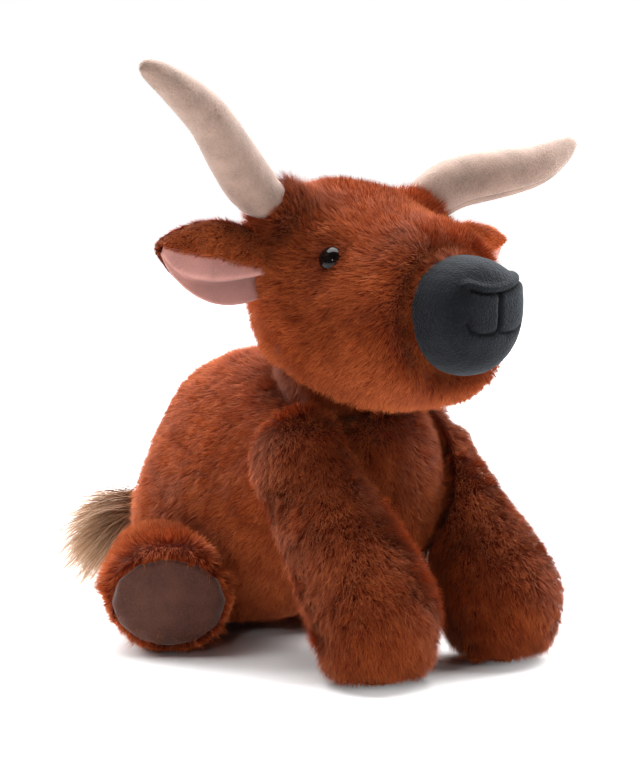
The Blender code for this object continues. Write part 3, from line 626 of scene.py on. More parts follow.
def combed(piece, comb, pile=None, cover=None, wet=None):
    """The piece with its combing direction, pile length, density and painted shade on its points.
    """
    data = piece.data
    ways = data.attributes.new("comb", "FLOAT_VECTOR", "POINT")
    for k, vert in enumerate(data.vertices):
        way = comb(vert.co, vert.normal)
        way = way - vert.normal * way.dot(vert.normal)
        ways.data[k].vector = way.normalized() if way.length > 1e-4 else way
    for name, rule, plain in (("pile", pile, 1.0), ("cover", cover, 1.0), ("wet", wet, 0.0)):
        shares = data.attributes.new(name, "FLOAT", "POINT")
        for k, vert in enumerate(data.vertices):
            shares.data[k].value = rule(vert.co, vert.normal) if rule else plain
    return piece


def grown(piece, **changes):
    """The piece with its pile grown, in one mesh."""
    cloth = plush()
    values = {
        "Hair": short_hair(),
        "Hairs per area": cloth.hairs_per_area * 1.0,
        "Length": cloth.pile,
        "Width": cloth.hair_width * 1.0,
        "Lift": 0.95,
        "Lean": 0.66,
        "Gather": 0.28,
        "Swirl": 1.1,
        "Ruffle": 0.9,
        "Stray": 0.38,
        "Tuft": cloth.tuft,
    }
    values.update(changes)
    pile = piece.modifiers.new("Pile", "NODES")
    pile.node_group = pile_group()
    for item in pile.node_group.interface.items_tree:
        if item.name in values:
            pile[item.identifier] = values[item.name]
    applied(piece)
    for name in ("comb", "pile", "cover", "wet", "tone"):
        spent = piece.data.attributes.get(name)
        if spent:
            piece.data.attributes.remove(spent)
    piece.data.shade_smooth()
    return piece


def dressed(piece, body, material, nodes=()):
    """The piece with its material, riding on its body and standing for its CAD nodes."""
    piece.data.materials.clear()
    piece.data.materials.append(material)
    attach(piece, body)
    if nodes:
        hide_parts(*nodes)
    return piece


def new_material(name, roughness, **sockets):
    """A Principled material with plain values, and the parts that its nodes need."""
    material = bpy.data.materials.new(name)
    material.use_nodes = True
    tree = material.node_tree
    shader = tree.nodes["Principled BSDF"]
    shader.inputs["Roughness"].default_value = roughness
    for socket, value in sockets.items():
        shader.inputs[socket.replace("_", " ")].default_value = value
    return material, tree, shader


def ramp(tree, factor, stops):
    """A colour ramp with the given places and colours."""
    made = node(tree, "ShaderNodeValToRGB", {"Fac": factor})
    band = made.color_ramp
    while len(band.elements) < len(stops):
        band.elements.new(0.5)
    for element, (place, colour) in zip(band.elements, stops):
        element.position = place
        element.color = (*colour, 1)
    return made.outputs["Color"]


def mixed(tree, factor, first, second, blend="MIX"):
    """Two colours mixed by a factor."""
    made = node(
        tree, "ShaderNodeMix", {"Factor": factor, 6: first, 7: second},
        data_type="RGBA", blend_type=blend,
    )
    return made.outputs[2]


def shaded(colour, amount):
    """A colour made lighter or darker, with its alpha."""
    return (*[min(1.0, part * amount) for part in colour], 1)


def hair_material(name, root, middle, tip, roughness=0.7):
    """Hair that is dark at its root and pale at its tip, with a tone of its own; on the plush the
    dark root is partly the fur's colour and partly painted shade deep in the pile.
    """
    if name in bpy.data.materials:
        return bpy.data.materials[name]
    material, tree, shader = new_material(
        name, roughness, Specular_IOR_Level=0.20, Sheen_Weight=0.12, Sheen_Roughness=0.40
    )
    shader.inputs["Sheen Tint"].default_value = (1.0, 0.60, 0.30, 1)
    places = node(tree, "ShaderNodeUVMap", uv_map=BAKE_MAP).outputs[0]
    split = node(tree, "ShaderNodeSeparateXYZ", {0: places}).outputs
    along = ramp(tree, split[1], ((0.02, root), (0.45, middle), (0.97, tip)))
    tones = ramp(
        tree, split[0],
        ((0.02, (0.58, 0.48, 0.40)), (0.5, (0.92, 0.90, 0.86)), (0.98, (1.36, 1.60, 1.70))),
    )
    tree.links.new(mixed(tree, 1.0, along, tones, "MULTIPLY"), shader.inputs["Base Color"])
    return material


def plush_material():
    """The rust plush."""
    cloth = plush()
    return hair_material("rust plush", cloth.root, cloth.middle, cloth.tip)


def nap_group():
    """Shader nodes for the nap of a brushed cloth: a colour share and a surface normal."""
    name = "Brushed nap"
    if name in bpy.data.node_groups:
        return bpy.data.node_groups[name]
    tree = bpy.data.node_groups.new(name, "ShaderNodeTree")
    for title, value in (("Scale", 900.0), ("Depth", 0.25 * MM), ("Patches", 90.0)):
        socket = tree.interface.new_socket(
            title, in_out="INPUT", socket_type="NodeSocketFloat"
        )
        socket.default_value = value
    tree.interface.new_socket("Shade", in_out="OUTPUT", socket_type="NodeSocketFloat")
    tree.interface.new_socket("Normal", in_out="OUTPUT", socket_type="NodeSocketVector")
    given = tree.nodes.new("NodeGroupInput").outputs
    place = own_place(tree)
    fibre = noise(tree, place, given["Scale"], 4.0)[0]
    patch = noise(tree, place, given["Patches"], 3.0)[0]
    shade = calculated(tree, "MULTIPLY_ADD", patch, 0.6, -0.05)
    shade = calculated(tree, "MULTIPLY_ADD", fibre, 0.5, shade)
    bump = node(tree, "ShaderNodeBump", {"Height": fibre, "Distance": given["Depth"]})
    node(tree, "NodeGroupOutput", {0: shade, 1: bump.outputs[0]})
    return tree


def napped(name, colour, dark, light, scale, depth, roughness=0.9, sheen=0.3):
    """A brushed cloth: its colour shaded by the nap. Returns its parts for more detail."""
    material, tree, shader = new_material(
        name, roughness, Specular_IOR_Level=0.2, Sheen_Weight=sheen, Sheen_Roughness=0.5
    )
    nap = node(tree, "ShaderNodeGroup", node_tree=nap_group())
    nap.inputs["Scale"].default_value = scale
    nap.inputs["Depth"].default_value = depth
    tint = ramp(
        tree, nap.outputs["Shade"],
        (
            (0.32, shaded(colour, dark)[:3]), (0.50, tuple(colour)),
            (0.68, shaded(colour, light)[:3]),
        ),
    )
    tree.links.new(nap.outputs["Normal"], shader.inputs["Normal"])
    tree.links.new(tint, shader.inputs["Base Color"])
    return material, tree, shader, tint


class HIGHLAND_OT_body(bpy.types.Operator):
    """Makes the body's pelt and the neck's."""

    bl_idname = "highland.body"
    bl_label = "Body and neck"

    def execute(self, context):
        """Grows the pile backward and down the trunk."""
        cloth = plush()
        form = padded_form("body_pelt", ("body_skin", "body_stuffing"), VOXEL["body"], cloth.sink)
        puffed(form, cloth.puff)
        moves = []
        for vert in form.data.vertices:
            co, up = vert.co, vert.normal.z
            back = rise(co.z, 0.085, 0.120) * rise(co.y, -0.085, -0.050) * max(0, up + 0.3) * 5.5
            chest, throat = swelling(co, *CHEST), swelling(co, *THROAT)
            nape = swelling(Vector((abs(co.x), co.y, co.z)), *NAPE)
            moves.append(vert.normal * (back + chest + throat + nape) * MM)
        moved(form, moves)
        neighbours = [outer_tree(("neck_skin", "neck_stuffing"))]
        for side in SIDES:
            for kind in ("front", "hind"):
                names = (f"{kind}_leg_skin_{side}", f"{kind}_leg_stuffing_{side}")
                neighbours.append(outer_tree(names))

        def comb(co, normal):
            """Down the back to the tail, and down the chest."""
            front = min(1, max(0, (-co.y - 0.075) / 0.05))
            return Vector((co.x * 4, 0.75 - 0.8 * front, -1.0 - 0.5 * front))

        def pile(co, normal):
            """Shorter under the seat."""
            return 0.55 if co.z < 12 * MM else 1.0

        def cover(co, normal):
            """None inside the neck and the legs."""
            buried = cloth.sink + 5 * MM
            return 0.0 if any(depth_in(tree, co) > buried for tree in neighbours) else 1.0

        combed(form, comb, pile, cover)
        grown(form)
        dressed(
            form, "body", plush_material(),
            ("body_skin", "body_stuffing", "pellet_bag"),
        )
        form = padded_form("neck_pelt", ("neck_skin", "neck_stuffing"), VOXEL["neck"], 0)
        puffed(form, cloth.puff)
        head = outer_tree(("head_skin", "head_stuffing"))
        inside = [rise(depth_in(head, vert.co), 0, 5 * MM) for vert in form.data.vertices]
        moved(form, [
            -vert.normal * 6 * MM * share for vert, share in zip(form.data.vertices, inside)
        ])
        combed(
            form, lambda co, normal: Vector((0, 0.2, -1)),
            cover=lambda co, normal: 0.0 if depth_in(head, co) > 3 * MM else 1.0,
            # Painted shade: the whole neck is darkened because it lies in the head's shadow.
            wet=lambda co, normal: 0.8,
        )
        grown(form)
        dressed(
            form, "neck", plush_material(), ("neck_skin", "neck_stuffing")
        )
        return {"FINISHED"}


class HIGHLAND_OT_head(bpy.types.Operator):
    """Makes the head's pelt."""

    bl_idname = "highland.head"
    bl_label = "Head"

    def execute(self, context):
        """Grows the pile back from the muzzle, short round the eyes and the seam."""
        cloth = plush()
        muzzle = centre_of("muzzle_cover")
        seam = muzzle.copy()
        seam.y = MUZZLE_SEAM_Y
        eyes = [centre_of(f"eye_{side}") for side in SIDES]
        horns = [head_place(Vector((s * HORN_SEAT.x, HORN_SEAT.y, HORN_SEAT.z))) for s in (-1, 1)]
        mounds = [ear_place(side, 0.04, 7 * MM, -3 * MM) for side in SIDES]
        for out in (-1, 1):
            mounds.append(head_place(Vector((56 * out, 1, 15)) * MM))
        neck = outer_tree(("neck_skin", "neck_stuffing"))
        snout = outer_tree(("muzzle_cover", "nose_panel"))
        form = padded_form("head_pelt", ("head_skin", "head_stuffing"), VOXEL["head"], cloth.sink)
        puffed(form, cloth.puff)

        moves = []
        for vert in form.data.vertices:
            offset = vert.co - seam
            ring = Vector((offset.x, offset.z)).length - 27 * MM
            reach = Vector((ring, min(0, offset.y))).length
            upper = rise(offset.z, 0, 20 * MM)
            roll = bell(reach - 6 * MM, 6 * MM) * (1.4 + 1.6 * upper)
            valley = bell(reach - 21 * MM, 7 * MM) * 2.0 * upper
            jowl = max(0, -vert.normal.z) * max(0, 1 - abs(vert.co.y + 0.105) / 0.05) * 7.0
            cheek = swelling(vert.co, *CHEEK)
            for mound in mounds:
                cheek += swelling(vert.co, mound, 14 * MM, 8.0)
            moves.append(vert.normal * (roll - valley + jowl + cheek) * MM)
        moved(form, moves)

        def comb(co, normal):
            """Away from the muzzle over the face, falling on the cheeks."""
            way = co - seam
            way.z *= 0.6
            way.normalize()
            below = min(1, max(0, (0.19 - co.z) / 0.04))
            way += Vector((0, 0.25, -0.35 - 0.55 * below))
            for horn, out in zip(horns, (-1, 1)):
                root = bell((co - horn).length, 17 * MM)
                way = way.lerp(Vector((0.9 * out, -0.1, 0.9)), min(1, 1.3 * root))
            return way

        def pile(co, normal):
            """Short near the eyes and the muzzle's seam, longer round the horns."""
            share = 1.0
            for eye in eyes:
                share = min(share, 0.30 + 0.70 * min(1, (co - eye).length / (18 * MM)))
            for horn in horns:
                share += 0.65 * bell((co - horn).length, 19 * MM)
            ring = (co - muzzle).length
            return share * min(1, max(0.72, (ring - 18 * MM) / (24 * MM)))

        def cover(co, normal):
            """None inside the muzzle and the neck."""
            if depth_in(neck, co) > 3 * MM or depth_in(snout, co) > 1 * MM:
                return 0.0
            ring = Vector((co.x - muzzle.x, co.z - muzzle.z)).length
            return 0.0 if co.y < -0.150 and ring < 22 * MM else 1.0

        def wet(co, normal):
            """Painted shade behind the horns and round the eyes, in the creases and recesses
            where shade falls.
            """
            shade = 0.0
            for eye in eyes:
                shade += 0.30 * bell((co - eye).length, 9 * MM)
            for horn, out in zip(horns, (-1, 1)):
                behind = horn + Vector((6 * out, -9, -5)) * MM
                shade += 0.55 * bell((co - behind).length, 13 * MM)
            return shade

        combed(form, comb, pile, cover, wet)
        grown(form)
        dressed(
            form, "head", plush_material(), ("head_skin", "head_stuffing")
        )
        return {"FINISHED"}


class HIGHLAND_OT_legs(bpy.types.Operator):
    """Makes the pelts of the four legs."""

    bl_idname = "highland.legs"
    bl_label = "Legs"

    def execute(self, context):
        """Grows the pile along each leg, down to its foot."""
        joints = {joint["name"]: Vector(joint["pos_m"]) for joint in frame["joints"]}
        body = outer_tree(("body_skin", "body_stuffing"))
        for side in SIDES:
            for kind, joint in (("front", "front_leg_swing"), ("hind", "hind_leg_splay")):
                self.leg(side, kind, joints[f"{joint}_{side}"], body)
        return {"FINISHED"}

    def leg(self, side, kind, pivot, body):
        """One leg's pelt."""
        cloth = plush()
        sole = centre_of(f"{kind}_sole_{side}")
        low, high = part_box(f"{kind}_sole_{side}")
        spread = max(high[0] - low[0], high[1] - low[1]) / 2
        name = f"{kind}_leg_{side}"
        nodes = (f"{kind}_leg_skin_{side}", f"{kind}_leg_stuffing_{side}")
        form = padded_form(f"{name}_pelt", nodes, VOXEL["leg"], cloth.sink, thin=True)
        puffed(form, cloth.puff)
        if kind == "front":
            for vert in form.data.vertices:
                lowness = rise(vert.co.z, 26 * MM, 10 * MM)
                out = Vector((vert.co.x - sole.x, vert.co.y - sole.y, 0)).normalized()
                vert.co += (out * 1.5 - Z_AXIS * 6.5) * lowness * MM
        pads = outer_tree((f"{kind}_sole_{side}",))
        way = (sole - pivot).normalized()

        def rim(co, normal):
            """A share for the upper edge of a hind foot, which hangs over the sole."""
            near = max(0, 1 + depth_in(pads, co) / (10 * MM))
            return near * rise(normal.z, 0.1, 0.5) if kind == "hind" else 0.0

        moved(form, [way * 5 * MM * rim(vert.co, vert.normal) for vert in form.data.vertices])

        def comb(co, normal):
            """Down a front leg and its foot; back from a hind foot's sole."""
            if kind == "hind":
                edge = min(1, 1.5 * rim(co, normal))
                return way * (2.2 * edge - 1) + Vector((0, 0, -0.3 - 1.4 * edge))
            return way + Vector((0, 0, -0.3 - 2.5 * max(0, 1 - co.z / (24 * MM))))

        def pile(co, normal):
            """Longer at a front foot and above a hind sole, and shorter below that sole."""
            if kind == "front":
                return 1.0 + 0.25 * max(0, 1 - co.z / (20 * MM))
            near = max(0, 1 + depth_in(pads, co) / (12 * MM))
            return 1.0 + near * (0.35 if normal.z > 0 else -0.25)

        def cover(co, normal):
            """None inside the body and under the sole."""
            if depth_in(body, co) > cloth.sink + 5 * MM:
                return 0.0
            ring = (co - sole) - way * (co - sole).dot(way)
            under = normal.dot(way) > 0.6 if kind == "hind" else co.z < 3 * MM
            return 0.0 if under and ring.length < 0.74 * spread else 1.0

        def wet(co, normal):
            """Paler round a hind sole."""
            return -0.35 * max(0, 1 + depth_in(pads, co) / (22 * MM)) if kind == "hind" else 0.0

        combed(form, comb, pile, cover, wet)
        grown(form, Lift=0.95 if kind == "hind" else 0.80)
        dressed(form, name, plush_material(), nodes)


class HIGHLAND_OT_horns(bpy.types.Operator):
    """Makes the two suede horns."""

    bl_idname = "highland.horns"
    bl_label = "Horns"

    def execute(self, context):
        """Rounds each horn, presses its seam in and gives it folds at the root."""
        suede = suede_material()
        for side, sign in SIDES.items():
            route = []
            for out, forward, up in HORN_ROUTES[side]:
                route.append(head_place(Vector((
                    sign * (HORN_SEAT.x + out * HORN_REACH[side]),
                    HORN_SEAT.y - forward * HORN_SWEEP,
                    HORN_SEAT.z + up * HORN_RISE[side],
                ))))
            nodes = (f"horn_skin_{side}", f"horn_stuffing_{side}")
            form = padded_form(f"horn_{side}_suede", nodes, VOXEL["horn"], 0.0, 60)
            self.sewn(form, route, 0.8 if side == "right" else -0.9)
            dressed(form, f"horn_{side}", suede, nodes)
        return {"FINISHED"}

    def sewn(self, form, route, turn):
        """The horn with its seam's distance, its length share and its dents."""
        seams = form.data.attributes.new("seam", "FLOAT", "POINT")
        shares = form.data.attributes.new("along", "FLOAT", "POINT")
        steps = [(b - a).length for a, b in zip(route, route[1:])]
        whole = sum(steps)
        moves = []
        for k, vert in enumerate(form.data.vertices):
            best = None
            done = 0.0
            for start, end, step in zip(route, route[1:], steps):
                way = (end - start) / step
                part = min(step, max(0, (vert.co - start).dot(way)))
                gap = (vert.co - start - way * part).length
                if best is None or gap < best[0]:
                    best = (gap, start + way * part, way, (done + part) / whole)
                done += step
            _, middle, way, along = best
            away = vert.co - middle
            down = -Z_AXIS + turn * Y_AXIS
            down = (down - way * down.dot(way)).normalized()
            side = way.cross(down)
            off = away.dot(side) if away.dot(down) > 0 else 20 * MM
            seams.data[k].value = off / MM
            shares.data[k].value = along
            groove = bell(off, 1.0 * MM) * 0.7
            angle = atan2(away.dot(side), away.dot(down))
            fold = bell(along - 0.13, 0.06) * max(0, cos(2 * angle - 1.0)) * 1.6
            swell = sin(along * 21.0 + 2.0 * cos(angle)) * 0.15
            moves.append(vert.normal * -(groove + fold + swell) * MM)
        moved(form, moves)


def suede_material():
    """The horns' suede, with its seam, its nap, brown specks and painted shade at the root."""
    colour = trim().horn
    material, tree, shader, tint = napped(
        "horn suede", colour, 0.72, 1.18, 1100.0, 0.30 * MM
    )
    place = own_place(tree)
    speck = noise(tree, place, 620.0, 3.0)[0]
    patch = noise(tree, place, 60.0)[0]
    along = marked(tree, "along")
    seam = marked(tree, "seam")
    upper = ranged(tree, along, 0.30, 0.75)
    specks = ranged(tree, speck, 0.52, 0.66)
    zone = ranged(tree, patch, 0.42, 0.62)
    amount = calculated(tree, "MULTIPLY", calculated(tree, "MULTIPLY", specks, zone), upper)
    tint = mixed(
        tree, calculated(tree, "MULTIPLY", amount, 0.6), tint, (0.22, 0.095, 0.040, 1)
    )
    line = ranged(tree, calculated(tree, "ABSOLUTE", seam), 0.65, 0.15)
    tint = mixed(tree, calculated(tree, "MULTIPLY", line, 0.6), tint, shaded(colour, 0.35))
    # Painted shade: the suede is darker at the horn's root, where it meets the head's fur.
    root = ranged(tree, along, 0.22, 0.0)
    tint = mixed(tree, calculated(tree, "MULTIPLY", root, 0.35), tint, shaded(colour, 0.5))
    tree.links.new(tint, shader.inputs["Base Color"])
    return material


def ranged(tree, value, low, high):
    """A value as a share of the way from one number to another, from 0 to 1."""
    return node(tree, "ShaderNodeMapRange", {"Value": value, 1: low, 2: high}).outputs[0]


def ear_place(side, along, forward, up):
    """A place on an ear, from its length share and its distances forward and up."""
    sign = SIDES[side]
    local = Vector((sign * (5 * MM + along * EAR_LENGTH), -forward, up))
    local = Matrix.Rotation(-sign * EAR_RISE[side], 3, "Y") @ local
    seat = Vector((sign * EAR_SEAT.x, EAR_SEAT.y, EAR_SEAT.z))
    return head_place(seat + local)


def ear_half(along):
    """Half the ear's width at a length share."""
    turn = min(1.0, 0.14 + 0.86 * along)
    return 17.6 * MM * max(0, sin(pi * turn ** 1.08)) ** 0.72 + (3.2 - 0.6 * along) * MM


EAR_SHELL = (
    (1.2, -0.90), (-0.6, -0.62), (-1.5, -0.22), (-1.6, 0.14), (-0.6, 0.48),
    (2.0, 0.70), (5.6, 0.76), (8.2, 0.62), (9.2, 0.34), (9.0, 0.04),
)
EAR_LINING = (
    (6.4, 0.36), (6.0, 0.14), (5.4, -0.04), (5.0, -0.15), (4.8, -0.19), (4.6, -0.22),
    (4.0, -0.40), (3.6, -0.70), (3.4, -1.00),
)
EAR_FOLD = (0.0, 1.5, 3.5, 4.5, 2.0, -1.6, -1.7, -0.9, 0.0)
# Painted shade under the lining's fold, as a share at each point of the section.
EAR_POCKET_SHADE = (0.0, 0.0, 0.0, 0.0, 0.8, 1.0, 0.8, 0.4, 0.0)
EAR_SLANT = (0.0, 0.3, 0.7, 1.0, 1.0, 1.0, 0.75, 0.35, 0.0)


class HIGHLAND_OT_ears(bpy.types.Operator):
    """Makes the two ears with their folded linings."""

    bl_idname = "highland.ears"
    bl_label = "Ears"

    def execute(self, context):
        """Rolls each ear's back over its lining and grows short pile on it."""
        head = outer_tree(("head_skin", "head_stuffing"))
        pink = lining_material()
        for side in SIDES:
            back = self.sheet(f"ear_{side}_back", side, EAR_SHELL, None, 2.6 * MM)
            folded = (EAR_FOLD, EAR_POCKET_SHADE, EAR_SLANT)
            lining = self.sheet(f"ear_{side}_lining", side, EAR_LINING, folded, 1.2 * MM)
            root = ear_place(side, 0.0, 3 * MM, 0)
            way = (ear_place(side, 1.0, 3 * MM, 0) - root).normalized()
            up = (ear_place(side, 0.0, 3 * MM, MM) - root).normalized()

            def comb(co, normal):
                """Outward along the ear, falling a little."""
                return way + Vector((0, -0.1, -0.35))

            def pile(co, normal):
                """Shorter toward the tip and at the lower edge."""
                along = (co - root).dot(way) / EAR_LENGTH
                low = rise((co - root).dot(up), 0, -7 * MM)
                return (0.85 - 0.30 * along) * (1 - 0.8 * low) * (1 - 0.5 * rise(along, 0.75, 1))

            def cover(co, normal):
                """None inside the fold and inside the head."""
                if depth_in(head, co) > 1 * MM:
                    return 0.0
                middle = root + way * (co - root).dot(way)
                return 1.0 if (co - middle).normalized().dot(normal) > 0.05 else 0.0

            combed(back, comb, pile, cover, lambda co, normal: -0.45)
            grown(back, Lift=0.45, Lean=0.9, **{"Hairs per area": 1.5 * plush().hairs_per_area})
            body = f"ear_{side}"
            dressed(back, body, plush_material(), (f"ear_back_{side}",))
            dressed(lining, body, pink, (f"ear_lining_{side}",))
        return {"FINISHED"}

    def sheet(self, name, side, section, folded, thickness):
        """A thick closed sheet along the ear; its fold slants and runs out toward the tip."""
        folded = folded or [[0.0] * len(section)] * 3
        bm = bmesh.new()
        shade = bm.verts.layers.float.new("pocket_shade")
        rows = []
        for k in range(15):
            along = k / 14
            half = ear_half(along) + (2.6 * MM - thickness) * 0.5
            curl = 0.55 + 0.45 * sin(pi * min(1, 0.25 + along * 0.75))
            fold = rise(along, 0.88, 0.62)
            row = []
            for (forward, up), extra, pocket_shade, slant in zip(section, *folded):
                forward = (forward * curl + extra * fold) * MM
                up += slant * (0.06 - 0.72 * min(along, 0.8))
                row.append(bm.verts.new(ear_place(side, along, forward, up * half)))
                row[-1][shade] = pocket_shade * fold
            rows.append(row)
        for row, following in zip(rows, rows[1:]):
            for k in range(len(section) - 1):
                bm.faces.new((row[k], row[k + 1], following[k + 1], following[k]))
        piece = new_object(name, mesh_from(name, bm))
        rounding = piece.modifiers.new("Rounding", "SUBSURF")
        rounding.levels = 2
        rounding.render_levels = 2
        body = piece.modifiers.new("Thickness", "SOLIDIFY")
        body.thickness = thickness
        body.offset = 0
        applied(piece)
        bm = bmesh.new()
        bm.from_mesh(piece.data)
        bmesh.ops.recalc_face_normals(bm, faces=bm.faces)
        bm.to_mesh(piece.data)
        bm.free()
        piece.data.shade_smooth()
        return piece


def lining_material():
    """Pink short-napped lining, with painted shade in the pocket under its fold."""
    colour = trim().lining
    material, tree, shader, tint = napped(
        "pink lining", colour, 0.80, 1.12, 1300.0, 0.15 * MM, sheen=0.15
    )
    # Painted shade: the lining is darkened in the pocket under the fold, where the flap's shadow
    # falls.
    deep = calculated(tree, "MULTIPLY", marked(tree, "pocket_shade"), 0.85)
    tint = mixed(tree, deep, tint, shaded(colour, 0.42))
    tree.links.new(tint, shader.inputs["Base Color"])
    return material


NOSE_RIDGE = (
    (-14.5, 9.9), (-9, 8.4), (-3, 7.7), (1.8, 7.8), (8, 8.6), (16, 10.6), (21, 12.5), (24, 14.0),
)
NOSE_MIDDLE = ((1.8, 7.8), (1.9, -2.0), (1.2, -9.8))
MOUTH = (
    (-17.5, -5.5), (-15, -9.0), (-10, -10.9), (-4, -11.2), (1.2, -9.8), (7, -11.2),
    (14, -10.8), (19, -8.8),
)


class HIGHLAND_OT_muzzle(bpy.types.Operator):
    """Makes the velour muzzle with its ridge and its stitched lines."""

    bl_idname = "highland.muzzle"
    bl_label = "Muzzle"

    def execute(self, context):
        """Presses the stitched lines into the front and raises the ridge."""
        nodes = ("muzzle_cover", "nose_panel")
        form = padded_form("muzzle_velour", nodes, VOXEL["muzzle"], 0.2 * MM, 12)
        middle = centre_of("muzzle_cover")
        middle.z = MUZZLE_MIDDLE_Z
        for vert in form.data.vertices:
            high = vert.co.z - middle.z
            vert.co.z = middle.z + high * (0.87 if high > 0 else 1.14)
        marks = form.data.attributes.new("stitch", "FLOAT", "POINT")
        moves = []
        for k, vert in enumerate(form.data.vertices):
            spot = Vector(((vert.co.x - middle.x) / MM, (vert.co.z - middle.z) / MM))
            front = min(1, max(0, (MUZZLE_FRONT_Y - vert.co.y) / (6 * MM)))
            ridge = distance_to(NOSE_RIDGE, spot)
            seams = min(distance_to(NOSE_MIDDLE, spot), distance_to(MOUTH, spot))
            groove = bell(seams, 1.1) * 1.5
            over = spot.y > RIDGE_TOP + RIDGE_BOW * spot.x ** 2
            crease = bell(ridge, 0.8) * 1.3
            lip = bell(ridge - 2.4, 1.8) * (1.6 if over else 0.5)
            marks.data[k].value = bell(min(seams, ridge), 0.9) * front
            corner = exp(-(((spot.x - 23) / 9) ** 2 + ((spot.y - 11) / 6) ** 2)) * 1.2
            moves.append(vert.normal * -((groove + crease - lip) * front - corner) * MM)
        moved(form, moves)
        dressed(form, "head", velour_material(), nodes)
        return {"FINISHED"}


def distance_to(line, spot):
    """The distance from a spot to a line of points, in millimetres."""
    best = 1e9
    for start, end in zip(line, line[1:]):
        a, b = Vector(start), Vector(end)
        share = min(1, max(0, (spot - a).dot(b - a) / (b - a).length_squared))
        best = min(best, (spot - a.lerp(b, share)).length)
    return best


def velour_material():
    """The muzzle's dark velour, with its stitches."""
    colour = trim().muzzle
    material, tree, shader, tint = napped("muzzle velour", colour, 0.45, 2.3, 900.0, 0.70 * MM)
    shader.inputs["Sheen Tint"].default_value = (0.62, 0.72, 0.80, 1)
    stitch = marked(tree, "stitch")
    sheen = calculated(tree, "MULTIPLY_ADD", stitch, -0.16, 0.16)
    tree.links.new(sheen, shader.inputs["Sheen Weight"])
    tint = mixed(tree, stitch, tint, (0.001, 0.001, 0.002, 1))
    tree.links.new(tint, shader.inputs["Base Color"])
    return material


class HIGHLAND_OT_eyes(bpy.types.Operator):
    """Makes the two glossy eyes."""

    bl_idname = "highland.eyes"
    bl_label = "Eyes"

    def execute(self, context):
        """Sets a smooth dome where each CAD eye is."""
        gloss = eye_material()
        for side in SIDES:
            eye = centre_of(f"eye_{side}")
            way = (eye - centre_of(f"eye_washer_{side}")).normalized()
            eye += Y_AXIS * 1.4 * MM - way * 1.2 * MM
            bm = bmesh.new()
            bmesh.ops.create_uvsphere(bm, u_segments=40, v_segments=24, radius=EYE_RADIUS)
            for vert in bm.verts:
                vert.co.z *= EYE_FLATNESS
            turn = way.to_track_quat("Z", "Y").to_matrix().to_4x4()
            bm.transform(Matrix.Translation(eye) @ turn)
            name = f"eye_{side}_dome"
            dome = new_object(name, mesh_from(name, bm))
            dome.data.shade_smooth()
            dressed(dome, "head", gloss, (f"eye_{side}",))
        return {"FINISHED"}


def eye_material():
    """Black glossy plastic with the faintest haze."""
    material, tree, shader = new_material("eye gloss", 0.04, Specular_IOR_Level=0.25)
    haze = noise(tree, own_place(tree), 400.0)[0]
    tint = ramp(tree, haze, ((0.3, (0.003, 0.002, 0.002)), (0.7, (0.010, 0.006, 0.005))))
    tree.links.new(tint, shader.inputs["Base Color"])
    return material


class HIGHLAND_OT_soles(bpy.types.Operator):
    """Makes the four suede soles."""

    bl_idname = "highland.soles"
    bl_label = "Soles"

    def execute(self, context):
        """Rounds each sole, above the floor."""
        suede = sole_material()
        for side in SIDES:
            for kind in ("front", "hind"):
                nodes = (f"{kind}_sole_{side}",)
                form = padded_form(f"{nodes[0]}_suede", nodes, VOXEL["sole"], 0.3 * MM, 10)
                for vert in form.data.vertices:
                    vert.co.z = max(vert.co.z, FLOOR_CLEARANCE)
                dressed(form, f"{kind}_leg_{side}", suede, nodes)
        return {"FINISHED"}


def sole_material():
    """Brown suede with a soft wear."""
    return napped("sole suede", trim().sole, 0.66, 1.30, 1000.0, 0.30 * MM)[0]


